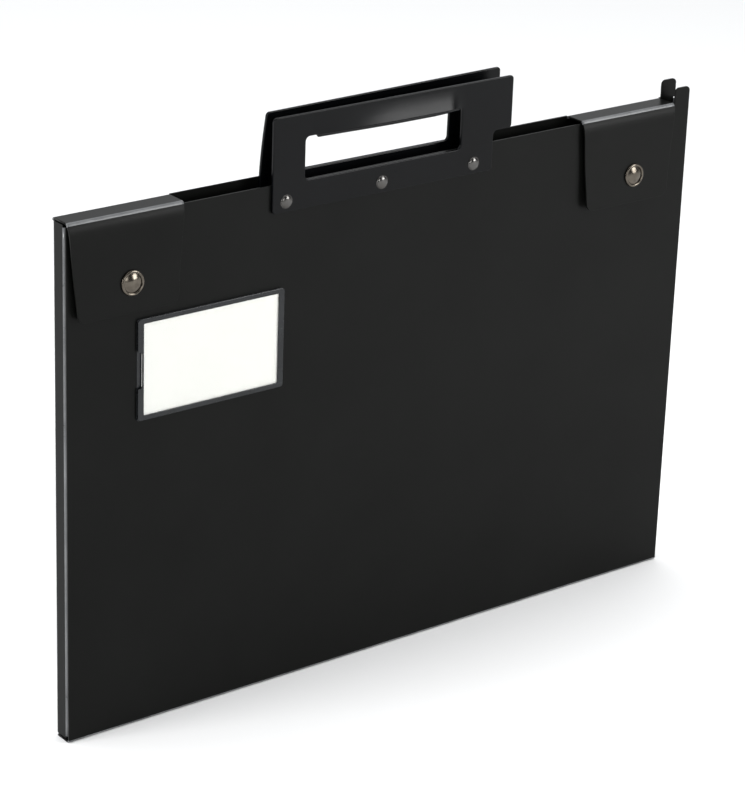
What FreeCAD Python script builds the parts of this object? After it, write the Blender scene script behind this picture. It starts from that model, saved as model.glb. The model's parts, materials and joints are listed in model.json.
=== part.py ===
import FreeCAD, Part
import Sketcher
import os

# A3 carrying case of creased polypropylene sheet, closed and standing on its spine.
# Origin: centre of the spine's bottom face. +X runs to the right as seen from the front,
# +Y to the back and +Z up. "left" and "right" are as seen from the front.

DRIVING_DIMENSIONS = [
    # body of the case
    ("case_width", 461),
    ("case_height", 320),
    ("case_depth", 14),
    ("sheet_thick", 1.2),
    ("crease_gap", 1.0),
    ("cover_drop", 2),
    ("lug_width", 12),
    ("lug_rise", 9),
    ("lug_round", 3),
    ("corner_round", 2),
    # gussets and side flaps
    ("gusset_foot", 2),
    ("gusset_drop", 2),
    ("flap_under_cover", 0.7),
    ("side_flap_depth", 62),
    ("side_flap_inset", 3.5),
    ("side_flap_round", 14),
    # closing tabs
    ("tab_width", 76),
    ("right_tab_start", 371),
    ("tab_notch_gap", 0.5),
    ("tab_length", 58),
    ("tab_stand_off", 0.6),
    ("tab_taper", 5),
    ("tab_round", 5),
    ("tab_tilt", 3),
    # press studs
    ("stud_drop", 40.4),
    ("left_stud_across", 40.5),
    ("right_stud_across", 43),
    ("stud_cap_radius", 7.5),
    ("stud_cap_height", 2.2),
    ("stud_rim_height", 0.6),
    ("stud_shank_radius", 2.3),
    ("stud_hole_radius", 2.4),
    ("socket_radius", 5.6),
    ("socket_bore_radius", 2.7),
    ("socket_height", 1.3),
    ("spring_wire_radius", 0.25),
    ("post_flange_radius", 5),
    ("post_flange_height", 0.6),
    ("post_radius", 1.7),
    ("post_head_radius", 1.9),
    ("post_height", 2.2),
    ("eyelet_radius", 4.6),
    ("eyelet_height", 0.4),
    # handles
    ("handle_left", 137),
    ("handle_length", 176),
    ("handle_base_length", 162),
    ("handle_base_z", 301),
    ("handle_top_z", 358),
    ("handle_overhang_z", 325.6),
    ("handle_thick", 2),
    ("handle_round", 1.5),
    ("handle_notch_round", 3),
    ("grip_left", 159.5),
    ("grip_length", 115),
    ("grip_bottom_z", 318),
    ("grip_height", 26),
    ("grip_round", 3),
    # folded lips of the grips
    ("lip_start", 169.5),
    ("lip_length", 104),
    ("lip_rise", 9),
    ("lip_gap", 0.3),
    ("lip_lean", 8),
    # handle rivets
    ("rivet_start", 146.5),
    ("rivet_pitch", 69),
    ("rivet_z", 307.5),
    ("rivet_head_radius", 4.5),
    ("rivet_head_height", 1.5),
    ("rivet_shank_radius", 1.6),
    ("rivet_hole_radius", 1.7),
    ("washer_height", 0.5),
    # label holder
    ("label_left", 46),
    ("label_width", 101),
    ("label_bottom_z", 193.5),
    ("label_height", 61.5),
    ("label_thick", 1.8),
    ("label_round", 2),
    ("window_rim_across", 4),
    ("window_rim_up", 3),
    ("backing_thick", 0.3),
    ("film_thick", 0.4),
    ("film_recess", 0.2),
    ("card_gap", 0.3),
    ("card_thick", 0.3),
    ("card_rim_across", 3),
    ("card_rim_up", 2.1),
    ("channel_gap", 0.35),
    ("thumb_notch_height", 22),
    ("thumb_notch_depth", 3),
]

# Places worked out from the driving dimensions, as expressions on the sheet.
FRONT_FACE = "(-dims.case_depth / 2)"
BACK_FACE = "(dims.case_depth / 2)"
LEFT_SIDE = "(-dims.case_width / 2)"
COVER_INNER = f"({FRONT_FACE} + dims.sheet_thick)"
PANEL_INNER = f"({BACK_FACE} - dims.sheet_thick)"
FOLD_EDGE = "(dims.sheet_thick / 2 + dims.crease_gap)"
COVER_TOP = "(dims.case_height - dims.cover_drop)"
LUG_LEFT = "(dims.case_width - dims.lug_width)"
LUG_TOP = "(dims.case_height + dims.lug_rise)"
LEFT_TAB_END = "(dims.tab_width + dims.tab_notch_gap)"
RIGHT_TAB_BEGIN = "(dims.right_tab_start - dims.tab_notch_gap)"
RIGHT_TAB_END = "(dims.right_tab_start + dims.tab_width + dims.tab_notch_gap)"
TAB_FOLD_Z = "(dims.case_height - dims.sheet_thick / 2)"
TAB_FOLD_Y = f"({FRONT_FACE} - dims.tab_stand_off - dims.sheet_thick / 2)"
SIDE_FLAP_INNER = f"({COVER_INNER} + dims.flap_under_cover + dims.sheet_thick)"
SIDE_FOLD_Y = f"({SIDE_FLAP_INNER} - dims.sheet_thick / 2)"
STUD_Z = f"({TAB_FOLD_Z} - dims.stud_drop * cos(dims.tab_tilt * 1 deg))"
CARD_BACK = f"({FRONT_FACE} - dims.backing_thick - dims.card_gap)"
# Each handle stands alike above its own sheet, and the back panel is the taller one.
FRONT_RISE = "0"
BACK_RISE = "dims.cover_drop"

document = FreeCAD.newDocument("portfolio_case")
dims = document.addObject("Spreadsheet::Sheet", "dims")
nodes = []


def fill_sheet():
    """Write the driving dimensions into the sheet, one row each, with their aliases."""
    for row, (alias, number) in enumerate(DRIVING_DIMENSIONS, start=1):
        dims.set(f"A{row}", alias)
        dims.set(f"B{row}", str(number))
        dims.setAlias(f"B{row}", alias)
    document.recompute()


def value(expression):
    """The number that an expression on the sheet gives."""
    return float(dims.evalExpression(str(expression)))


def new_body(label):
    """An empty body that becomes one node."""
    body = document.addObject("PartDesign::Body", label)
    body.Label = label
    nodes.append(body)
    return body


def origin_feature(body, role):
    """A plane or axis of the body's own origin."""
    return next(item for item in body.Origin.OriginFeatures if item.Role == role)


def new_sketch(body, plane="XZ_Plane"):
    """A sketch on one of the body's origin planes."""
    sketch = body.newObject("Sketcher::SketchObject", "sketch")
    sketch.AttachmentSupport = [(origin_feature(body, plane), "")]
    sketch.MapMode = "FlatFace"
    document.recompute()
    return sketch


def hold_point(sketch, item, end, across, up):
    """Hold one point of a sketch at two expressions, measured from the sketch's origin."""
    for kind, axis, expression in (("DistanceX", -2, across), ("DistanceY", -1, up)):
        distance = value(expression)
        if abs(distance) < 1e-9:
            sketch.addConstraint(Sketcher.Constraint("PointOnObject", item, end, axis))
            continue
        constraint = Sketcher.Constraint(kind, -1, 1, item, end, distance)
        index = sketch.addConstraint(constraint)
        sketch.setExpression(f"Constraints[{index}]", str(expression))


def draw_outline(sketch, corners, domed_from=None):
    """Draw a closed outline through the corners.

    The side that starts at corner number domed_from is an arc centred on the upright axis.
    """
    points = [FreeCAD.Vector(value(across), value(up), 0) for across, up in corners]
    first = len(sketch.Geometry)
    for index, start in enumerate(points):
        end = points[(index + 1) % len(points)]
        side = Part.LineSegment(start, end)
        if index == domed_from:
            side = dome_arc(start, end)
        sketch.addGeometry(side, False)
    for index, (across, up) in enumerate(corners):
        following = (index + 1) % len(points)
        sketch.addConstraint(Sketcher.Constraint("Coincident", first + index, 2, first + following, 1))
        hold_point(sketch, first + index, 1, across, up)
    if domed_from is not None:
        sketch.addConstraint(Sketcher.Constraint("PointOnObject", first + domed_from, 3, -2))


def dome_arc(rim, crown):
    """The arc from a point on the rim up to the crown, level where it meets the upright axis."""
    radius = (rim.x ** 2 + (crown.y - rim.y) ** 2) / (2 * (crown.y - rim.y))
    centre = FreeCAD.Vector(0, crown.y - radius, 0)
    between = rim.add(crown).multiply(0.5).sub(centre)
    middle = centre.add(between.normalize().multiply(radius))
    return Part.Arc(rim, middle, crown)


def draw_circle(sketch, across, up, radius):
    """Draw a circle held at its centre and radius."""
    centre = FreeCAD.Vector(value(across), value(up), 0)
    circle = Part.Circle(centre, FreeCAD.Vector(0, 0, 1), value(radius))
    item = sketch.addGeometry(circle, False)
    hold_point(sketch, item, 3, across, up)
    index = sketch.addConstraint(Sketcher.Constraint("Radius", item, value(radius)))
    sketch.setExpression(f"Constraints[{index}]", str(radius))


def rectangle(left, bottom, width, height):
    """The corners of a rectangle, as expressions."""
    right = f"({left} + {width})"
    top = f"({bottom} + {height})"
    return [(left, bottom), (right, bottom), (right, top), (left, top)]


def pad(body, sketch, length, reverse=False):
    """Raise a sketch into a solid of the given thickness."""
    feature = body.newObject("PartDesign::Pad", "pad")
    feature.Profile = sketch
    feature.setExpression("Length", length)
    feature.Reversed = reverse
    document.recompute()
    return feature


def pocket(body, sketch, length=None, reverse=False):
    """Cut a sketch out of the body, right through or to the given depth."""
    before = body.Shape.Volume
    feature = body.newObject("PartDesign::Pocket", "pocket")
    feature.Profile = sketch
    feature.Reversed = reverse
    if length is None:
        feature.Type = "ThroughAll"
        feature.Midplane = True
    else:
        feature.setExpression("Length", length)
    document.recompute()
    if body.Shape.Volume > before - 1e-3:
        raise RuntimeError(f"a pocket of {body.Label} cuts nothing")


def round_corners(body, feature, sketch, corners, radius):
    """Fillet the edges that stand on the given corners of a sketch."""
    normal = sketch.Placement.Rotation.multVec(FreeCAD.Vector(0, 0, 1))
    names = []
    for across, up in corners:
        foot = sketch.Placement.multVec(FreeCAD.Vector(value(across), value(up), 0))
        for number, edge in enumerate(feature.Shape.Edges, start=1):
            away = [vertex.Point.sub(foot).cross(normal).Length for vertex in edge.Vertexes]
            if len(away) == 2 and max(away) < 1e-5:
                names.append(f"Edge{number}")
    if len(names) != len(corners):
        raise RuntimeError(f"{body.Label}: {len(names)} of {len(corners)} corners found")
    fillet = body.newObject("PartDesign::Fillet", "fillet")
    fillet.Base = (feature, names)
    fillet.setExpression("Radius", radius)
    document.recompute()
    return fillet


def place(body, across, back, up, turn=0):
    """Put a body at expressions for x, y and z, turned about the X axis by some degrees."""
    angle = value(turn)
    body.Placement = FreeCAD.Placement(
        FreeCAD.Vector(value(across), value(back), value(up)),
        FreeCAD.Rotation(FreeCAD.Vector(1, 0, 0), angle),
    )
    for letter, expression in zip("xyz", (across, back, up)):
        body.setExpression(f".Placement.Base.{letter}", str(expression))


def turned_body(label, profile, domed_from=None):
    """A round piece: a profile turned about the body's own Z axis."""
    body = new_body(label)
    sketch = new_sketch(body)
    draw_outline(sketch, profile, domed_from)
    feature = body.newObject("PartDesign::Revolution", "turn")
    feature.Profile = sketch
    feature.ReferenceAxis = (sketch, ["V_Axis"])
    feature.Angle = 360
    document.recompute()
    return body, feature


def drill(body, holes, radius):
    """Drill round holes through a sheet that lies in the body's XZ plane."""
    sketch = new_sketch(body)
    for across, up in holes:
        draw_circle(sketch, across, up, radius)
    pocket(body, sketch)


def rivet_places(rise):
    """The three rivet centres of a handle, in case coordinates from the left bottom corner."""
    up = f"(dims.rivet_z + {rise})"
    return [(f"(dims.rivet_start + {count} * dims.rivet_pitch)", up) for count in range(3)]


def stud_across(side):
    """How far a press stud stands from the case's left side."""
    if side == "left":
        return "dims.left_stud_across"
    return "(dims.right_tab_start + dims.right_stud_across)"


def make_spine():
    """The strip that the case stands on."""
    body = new_body("spine_strip")
    sketch = new_sketch(body, "XY_Plane")
    draw_outline(sketch, rectangle("0", "0", "dims.case_width", f"(dims.case_depth - 2 * {FOLD_EDGE})"))
    pad(body, sketch, "dims.sheet_thick")
    place(body, LEFT_SIDE, f"({FRONT_FACE} + {FOLD_EDGE})", "0")


def make_front_cover():
    """The front sheet, with an ear at its right end and holes for its rivets and studs."""
    body = new_body("front_cover")
    sketch = new_sketch(body)
    ear = [("dims.case_width", LUG_TOP), (LUG_LEFT, LUG_TOP)]
    corners = [
        ("0", FOLD_EDGE),
        ("dims.case_width", FOLD_EDGE),
        *ear,
        (LUG_LEFT, COVER_TOP),
        ("0", COVER_TOP),
    ]
    draw_outline(sketch, corners)
    feature = pad(body, sketch, "dims.sheet_thick")
    feature = round_corners(body, feature, sketch, ear, "dims.lug_round")
    round_corners(body, feature, sketch, [("0", COVER_TOP)], "dims.corner_round")
    drill(body, rivet_places(FRONT_RISE), "dims.rivet_hole_radius")
    drill(body, [(stud_across(side), STUD_Z) for side in ("left", "right")], "dims.stud_hole_radius")
    place(body, LEFT_SIDE, COVER_INNER, "0")


def make_back_panel():
    """The back sheet, which carries the gussets, the tabs and the rear handle."""
    body = new_body("back_panel")
    sketch = new_sketch(body)
    right_edge = f"(dims.case_width - {FOLD_EDGE})"
    tab_edge = f"(dims.case_height - {FOLD_EDGE})"
    shoulder = "(dims.case_height - dims.sheet_thick)"
    ear_top = f"({LUG_TOP} + {BACK_RISE})"
    ear = [("dims.case_width", ear_top), (LUG_LEFT, ear_top)]
    corners = [
        (FOLD_EDGE, FOLD_EDGE),
        (right_edge, FOLD_EDGE),
        (right_edge, shoulder),
        ("dims.case_width", shoulder),
        *ear,
        (LUG_LEFT, "dims.case_height"),
        (RIGHT_TAB_END, "dims.case_height"),
        (RIGHT_TAB_END, tab_edge),
        (RIGHT_TAB_BEGIN, tab_edge),
        (RIGHT_TAB_BEGIN, "dims.case_height"),
        (LEFT_TAB_END, "dims.case_height"),
        (LEFT_TAB_END, tab_edge),
        (FOLD_EDGE, tab_edge),
    ]
    draw_outline(sketch, corners)
    feature = pad(body, sketch, "dims.sheet_thick")
    round_corners(body, feature, sketch, ear, "dims.lug_round")
    drill(body, rivet_places(BACK_RISE), "dims.rivet_hole_radius")
    place(body, LEFT_SIDE, BACK_FACE, "0")


def make_gusset(side):
    """The narrow side wall that folds out from the back panel."""
    body = new_body(f"{side}_gusset")
    sketch = new_sketch(body, "YZ_Plane")
    depth = f"({BACK_FACE} - {FOLD_EDGE} - {SIDE_FOLD_Y} - dims.crease_gap)"
    height = "(dims.case_height - dims.gusset_foot - dims.gusset_drop)"
    draw_outline(sketch, rectangle("0", "0", depth, height))
    pad(body, sketch, "dims.sheet_thick")
    across = LEFT_SIDE if side == "left" else "(dims.case_width / 2 - dims.sheet_thick)"
    place(body, across, f"({SIDE_FOLD_Y} + dims.crease_gap)", "dims.gusset_foot")


def make_side_flap(side):
    """The flap that folds from a gusset over the contents, under the front cover."""
    body = new_body(f"{side}_side_flap")
    sketch = new_sketch(body)
    height = "(dims.case_height - 2 * dims.side_flap_inset)"
    corners = rectangle("0", "0", "dims.side_flap_depth", height)
    draw_outline(sketch, corners)
    feature = pad(body, sketch, "dims.sheet_thick")
    free_end = corners[2] if side == "left" else corners[3]
    free_foot = corners[1] if side == "left" else corners[0]
    feature = round_corners(body, feature, sketch, [free_end], "dims.side_flap_round")
    round_corners(body, feature, sketch, [free_foot], "dims.tab_round")
    start = f"({LEFT_SIDE} + {FOLD_EDGE})"
    if side == "right":
        start = f"(-{LEFT_SIDE} - {FOLD_EDGE} - dims.side_flap_depth)"
    place(body, start, SIDE_FLAP_INNER, "dims.side_flap_inset")


def tab_start(side):
    """Where a closing tab begins, measured in row X."""
    return LEFT_SIDE if side == "left" else f"({LEFT_SIDE} + dims.right_tab_start)"


def make_tab_strip(side):
    """The strip of a tab that bridges the top of the case."""
    body = new_body(f"{side}_tab_strip")
    sketch = new_sketch(body, "XY_Plane")
    depth = f"({BACK_FACE} - {FOLD_EDGE} - {TAB_FOLD_Y} - dims.crease_gap)"
    draw_outline(sketch, rectangle("0", "0", "dims.tab_width", depth))
    pad(body, sketch, "dims.sheet_thick")
    height = "(dims.case_height - dims.sheet_thick)"
    place(body, tab_start(side), f"({TAB_FOLD_Y} + dims.crease_gap)", height)


def make_tab_flap(side):
    """The tapered end of a tab, which hangs over the front cover.

    It is drawn upwards from its lower edge, and that edge is placed so that its fold meets the strip.
    """
    body = new_body(f"{side}_tab_flap")
    sketch = new_sketch(body)
    lower = [
        ("(dims.tab_width - dims.tab_taper)", "0"),
        ("dims.tab_taper", "0"),
    ]
    fold_height = "(dims.tab_length - dims.crease_gap)"
    corners = [*lower, ("0", fold_height), ("dims.tab_width", fold_height)]
    draw_outline(sketch, corners)
    feature = pad(body, sketch, "dims.sheet_thick")
    round_corners(body, feature, sketch, lower, "dims.tab_round")
    across = "dims.left_stud_across" if side == "left" else "dims.right_stud_across"
    drill(body, [(across, "(dims.tab_length - dims.stud_drop)")], "dims.stud_hole_radius")
    slope = "(dims.tab_tilt * 1 deg)"
    down = "dims.tab_length"
    back = f"({TAB_FOLD_Y} - {down} * sin{slope} + dims.sheet_thick / 2 * cos{slope})"
    up = f"({TAB_FOLD_Z} - {down} * cos{slope} - dims.sheet_thick / 2 * sin{slope})"
    place(body, tab_start(side), back, up, "-dims.tab_tilt")


def place_on_flap(body, side, outward):
    """Put a round piece on a tab's flap, some way out from the middle of its sheet."""
    slope = "(dims.tab_tilt * 1 deg)"
    back = f"({TAB_FOLD_Y} - dims.stud_drop * sin{slope} - ({outward}) * cos{slope})"
    up = f"({STUD_Z} + ({outward}) * sin{slope})"
    place(body, f"({LEFT_SIDE} + {stud_across(side)})", back, up, "90 - dims.tab_tilt")


def make_press_stud(side):
    """One press stud: cap and socket on the tab, post and eyelet on the front cover."""
    cap, _ = turned_body(
        f"{side}_stud_cap",
        [
            ("0", "0"),
            ("dims.stud_shank_radius", "0"),
            ("dims.stud_shank_radius", "dims.sheet_thick"),
            ("dims.stud_cap_radius", "dims.sheet_thick"),
            ("dims.stud_cap_radius", "(dims.sheet_thick + dims.stud_rim_height)"),
            ("0", "(dims.sheet_thick + dims.stud_cap_height)"),
        ],
        domed_from=4,
    )
    place_on_flap(cap, side, "-dims.sheet_thick / 2")
    socket, _ = turned_body(
        f"{side}_stud_socket",
        rectangle("dims.socket_bore_radius", "0", "(dims.socket_radius - dims.socket_bore_radius)",
                  "dims.socket_height"),
    )
    place_on_flap(socket, side, "-dims.sheet_thick / 2 - dims.socket_height")
    make_socket_spring(side)
    post, _ = turned_body(
        f"{side}_stud_post",
        [
            ("0", "0"),
            ("dims.stud_shank_radius", "0"),
            ("dims.stud_shank_radius", "dims.sheet_thick"),
            ("dims.post_flange_radius", "dims.sheet_thick"),
            ("dims.post_flange_radius", "(dims.sheet_thick + dims.post_flange_height)"),
            ("dims.post_radius", "(dims.sheet_thick + dims.post_flange_height)"),
            ("dims.post_head_radius", "(dims.sheet_thick + dims.post_height - dims.post_flange_height)"),
            ("0", "(dims.sheet_thick + dims.post_height)"),
        ],
        domed_from=6,
    )
    centre = f"({LEFT_SIDE} + {stud_across(side)})"
    place(post, centre, COVER_INNER, STUD_Z, "90")
    eyelet, _ = turned_body(
        f"{side}_stud_eyelet",
        rectangle("dims.post_radius", "0", "(dims.eyelet_radius - dims.post_radius)", "dims.eyelet_height"),
    )
    place(eyelet, centre, f"({COVER_INNER} + dims.eyelet_height)", STUD_Z, "90")


def make_socket_spring(side):
    """The wire ring in the socket that grips the post."""
    spring = document.addObject("Part::Torus", f"{side}_socket_spring")
    spring.Label = f"{side}_socket_spring"
    spring.setExpression("Radius1", "dims.socket_bore_radius - dims.spring_wire_radius")
    spring.setExpression("Radius2", "dims.spring_wire_radius")
    nodes.append(spring)
    place_on_flap(spring, side, "-dims.sheet_thick / 2 - dims.socket_height / 2")


def make_handle(name, back_face, rise):
    """A flat handle plate with a finger opening and an overhang at its right end."""
    body = new_body(f"{name}_handle")
    sketch = new_sketch(body)
    base_end = "(dims.handle_left + dims.handle_base_length)"
    right_end = "(dims.handle_left + dims.handle_length)"
    notch = (base_end, "dims.handle_overhang_z")
    corners = [
        ("dims.handle_left", "dims.handle_base_z"),
        (base_end, "dims.handle_base_z"),
        notch,
        (right_end, "dims.handle_overhang_z"),
        (right_end, "dims.handle_top_z"),
        ("dims.handle_left", "dims.handle_top_z"),
    ]
    draw_outline(sketch, corners)
    feature = pad(body, sketch, "dims.handle_thick")
    feature = round_corners(body, feature, sketch, [notch], "dims.handle_notch_round")
    outer = [corner for corner in corners if corner != notch]
    round_corners(body, feature, sketch, outer, "dims.handle_round")
    cut_grip(body)
    drill(body, rivet_places(FRONT_RISE), "dims.rivet_hole_radius")
    place(body, LEFT_SIDE, back_face, rise)


def cut_grip(body):
    """Cut the finger opening and round its four corners."""
    sketch = new_sketch(body)
    corners = rectangle("dims.grip_left", "dims.grip_bottom_z", "dims.grip_length", "dims.grip_height")
    draw_outline(sketch, corners)
    pocket(body, sketch)
    round_corners(body, body.Tip, sketch, corners, "dims.grip_round")


def make_grip_lip(name, outer_face, inward, rise):
    """The tongue cut from a finger opening, folded inwards and up behind the grip bar.

    Its section is drawn from the corner where the bar's underside meets the plate's outer face.
    """
    body = new_body(f"{name}_grip_lip")
    sketch = new_sketch(body, "YZ_Plane")
    lean = "tan(dims.lip_lean * 1 deg)"
    drop = "(dims.handle_thick + dims.lip_gap / 2)"
    root = "(dims.handle_thick + dims.lip_gap)"
    face = "(2 * dims.handle_thick + dims.lip_gap)"
    section = [
        ("0", "0"),
        ("0", f"(-{drop})"),
        (f"({inward} * ({face} - {drop} * {lean}))", f"(-{drop})"),
        (f"({inward} * ({face} + dims.lip_rise * {lean}))", "dims.lip_rise"),
        (f"({inward} * ({root} + dims.lip_rise * {lean}))", "dims.lip_rise"),
        (f"({inward} * {root})", "0"),
    ]
    draw_outline(sketch, section)
    feature = pad(body, sketch, "dims.lip_length")
    round_corners(body, feature, sketch, section[1:3], "dims.handle_thick")
    underside = f"(dims.grip_bottom_z + dims.grip_height + {rise})"
    place(body, f"({LEFT_SIDE} + dims.lip_start)", outer_face, underside)


def make_rivets(name, grip, foot_y, turn, rise):
    """The three rivets of a handle: a domed head on a shank that holds both sheets."""
    shank = f"({grip} + dims.washer_height)"
    body, head = turned_body(
        f"{name}_handle_rivets",
        [
            ("0", "0"),
            ("dims.rivet_shank_radius", "0"),
            ("dims.rivet_shank_radius", shank),
            ("dims.rivet_head_radius", shank),
            ("0", f"({shank} + dims.rivet_head_height)"),
        ],
        domed_from=3,
    )
    repeat_along_handle(body, head)
    place(body, f"({LEFT_SIDE} + dims.rivet_start)", foot_y, f"(dims.rivet_z + {rise})", turn)


def make_washers(name, foot_y, turn, rise):
    """The three washers that the rivets are closed over."""
    body, ring = turned_body(
        f"{name}_handle_washers",
        rectangle("dims.rivet_shank_radius", "0", "(dims.rivet_head_radius - dims.rivet_shank_radius)",
                  "dims.washer_height"),
    )
    repeat_along_handle(body, ring)
    place(body, f"({LEFT_SIDE} + dims.rivet_start)", foot_y, f"(dims.rivet_z + {rise})", turn)


def repeat_along_handle(body, feature):
    """Repeat a turned piece at the three rivet places."""
    pattern = body.newObject("PartDesign::LinearPattern", "row")
    pattern.Originals = [feature]
    pattern.Direction = (origin_feature(body, "X_Axis"), [""])
    pattern.setExpression("Length", "2 * dims.rivet_pitch")
    pattern.Occurrences = 3
    body.Tip = pattern
    document.recompute()


def make_label_frame():
    """The raised rim of the label holder, open at its left end for the card."""
    body = new_body("label_frame")
    sketch = new_sketch(body)
    corners = rectangle("0", "0", "dims.label_width", "dims.label_height")
    draw_outline(sketch, corners)
    feature = pad(body, sketch, "dims.label_thick")
    round_corners(body, feature, sketch, corners, "dims.label_round")
    channel = new_sketch(body)
    depth = f"({FRONT_FACE} - {CARD_BACK} + dims.card_thick + dims.card_gap)"
    rise = "(dims.card_rim_up - dims.channel_gap)"
    draw_outline(channel, rectangle("0", rise, "(dims.label_width - dims.card_rim_across + dims.channel_gap)",
                                    f"(dims.label_height - 2 * {rise})"))
    pocket(body, channel, depth, reverse=True)
    window = new_sketch(body)
    draw_outline(window, window_corners())
    pocket(body, window)
    cut_thumb_notch(body)
    place(body, f"({LEFT_SIDE} + dims.label_left)", FRONT_FACE, "dims.label_bottom_z")


def window_corners():
    """The corners of the label holder's window, from the holder's own corner."""
    return rectangle("dims.window_rim_across", "dims.window_rim_up",
                     "(dims.label_width - 2 * dims.window_rim_across)",
                     "(dims.label_height - 2 * dims.window_rim_up)")


def cut_thumb_notch(body):
    """Cut the notch in the left rim through which the card is pushed out."""
    sketch = new_sketch(body)
    foot = "((dims.label_height - dims.thumb_notch_height) / 2)"
    corners = rectangle("0", foot, "dims.thumb_notch_depth", "dims.thumb_notch_height")
    draw_outline(sketch, corners)
    pocket(body, sketch)
    inner = [corners[1], corners[2]]
    round_corners(body, body.Tip, sketch, inner, "dims.label_round")


def make_label_sheets():
    """The backing behind the card, the card itself and the clear film in front of it."""
    rise = "(dims.card_rim_up - dims.channel_gap)"
    backing = new_body("label_backing")
    sketch = new_sketch(backing)
    end = "(dims.label_width - dims.card_rim_across + dims.channel_gap)"
    draw_outline(sketch, rectangle("0", "0", end, f"(dims.label_height - 2 * {rise})"))
    pad(backing, sketch, "dims.backing_thick")
    place(backing, f"({LEFT_SIDE} + dims.label_left)", FRONT_FACE, f"(dims.label_bottom_z + {rise})")

    card = new_body("label_card")
    sketch = new_sketch(card)
    draw_outline(sketch, rectangle("0", "0", "(dims.label_width - 2 * dims.card_rim_across)",
                                   "(dims.label_height - 2 * dims.card_rim_up)"))
    pad(card, sketch, "dims.card_thick")
    place(card, f"({LEFT_SIDE} + dims.label_left + dims.card_rim_across)", CARD_BACK,
          "(dims.label_bottom_z + dims.card_rim_up)")

    film = new_body("label_window")
    sketch = new_sketch(film)
    draw_outline(sketch, window_corners())
    pad(film, sketch, "dims.film_thick")
    place(film, f"({LEFT_SIDE} + dims.label_left)",
          f"({FRONT_FACE} - dims.label_thick + dims.film_thick + dims.film_recess)", "dims.label_bottom_z")


def check_model():
    """Stop if any object failed, or any node is empty or invalid."""
    for item in document.Objects:
        if "Invalid" in item.State or "Error" in item.State:
            raise RuntimeError(f"{item.Name} is {item.State}")
    for node in nodes:
        if node.Shape.isNull() or not node.Shape.isValid() or not node.Shape.Solids:
            raise RuntimeError(f"{node.Label} has no valid solid")


def export_nodes():
    """Write one STEP file for each node and print its size."""
    os.makedirs("parts", exist_ok=True)
    for node in nodes:
        node.Shape.exportStep(f"parts/{node.Label}.step")
        box = node.Shape.BoundBox
        low = f"{box.XMin:8.2f} {box.YMin:7.2f} {box.ZMin:7.2f}"
        high = f"{box.XMax:8.2f} {box.YMax:7.2f} {box.ZMax:7.2f}"
        print(f"{node.Label:22s} {len(node.Shape.Solids)} {low} {high} {node.Shape.Volume:10.1f}")


fill_sheet()
make_spine()
make_front_cover()
make_back_panel()
for case_side in ("left", "right"):
    make_gusset(case_side)
    make_side_flap(case_side)
    make_tab_strip(case_side)
    make_tab_flap(case_side)
    make_press_stud(case_side)
both_sheets = "(dims.handle_thick + dims.sheet_thick)"
front_foot = f"({COVER_INNER} + dims.washer_height)"
make_handle("front", FRONT_FACE, FRONT_RISE)
make_grip_lip("front", f"({FRONT_FACE} - dims.handle_thick)", "1", FRONT_RISE)
make_rivets("front", both_sheets, front_foot, "90", FRONT_RISE)
make_washers("front", front_foot, "90", FRONT_RISE)
back_foot = f"({PANEL_INNER} - dims.handle_thick - dims.washer_height)"
make_handle("back", PANEL_INNER, BACK_RISE)
make_grip_lip("back", PANEL_INNER, "-1", BACK_RISE)
make_rivets("back", both_sheets, back_foot, "-90", BACK_RISE)
make_washers("back", back_foot, "-90", BACK_RISE)
make_label_frame()
make_label_sheets()
document.recompute()
check_model()
export_nodes()
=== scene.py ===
"""The looks of a slim A3 portfolio case: creased black sheet, flat riveted handles, press studs
and a label holder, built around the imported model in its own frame, in metres."""

import json
import logging
import math
from dataclasses import dataclass, field
from enum import Enum
from typing import Callable, Iterable, Optional, Sequence, Union

import bmesh
import bpy
from mathutils import Matrix, Vector
from mathutils.geometry import tessellate_polygon

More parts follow.
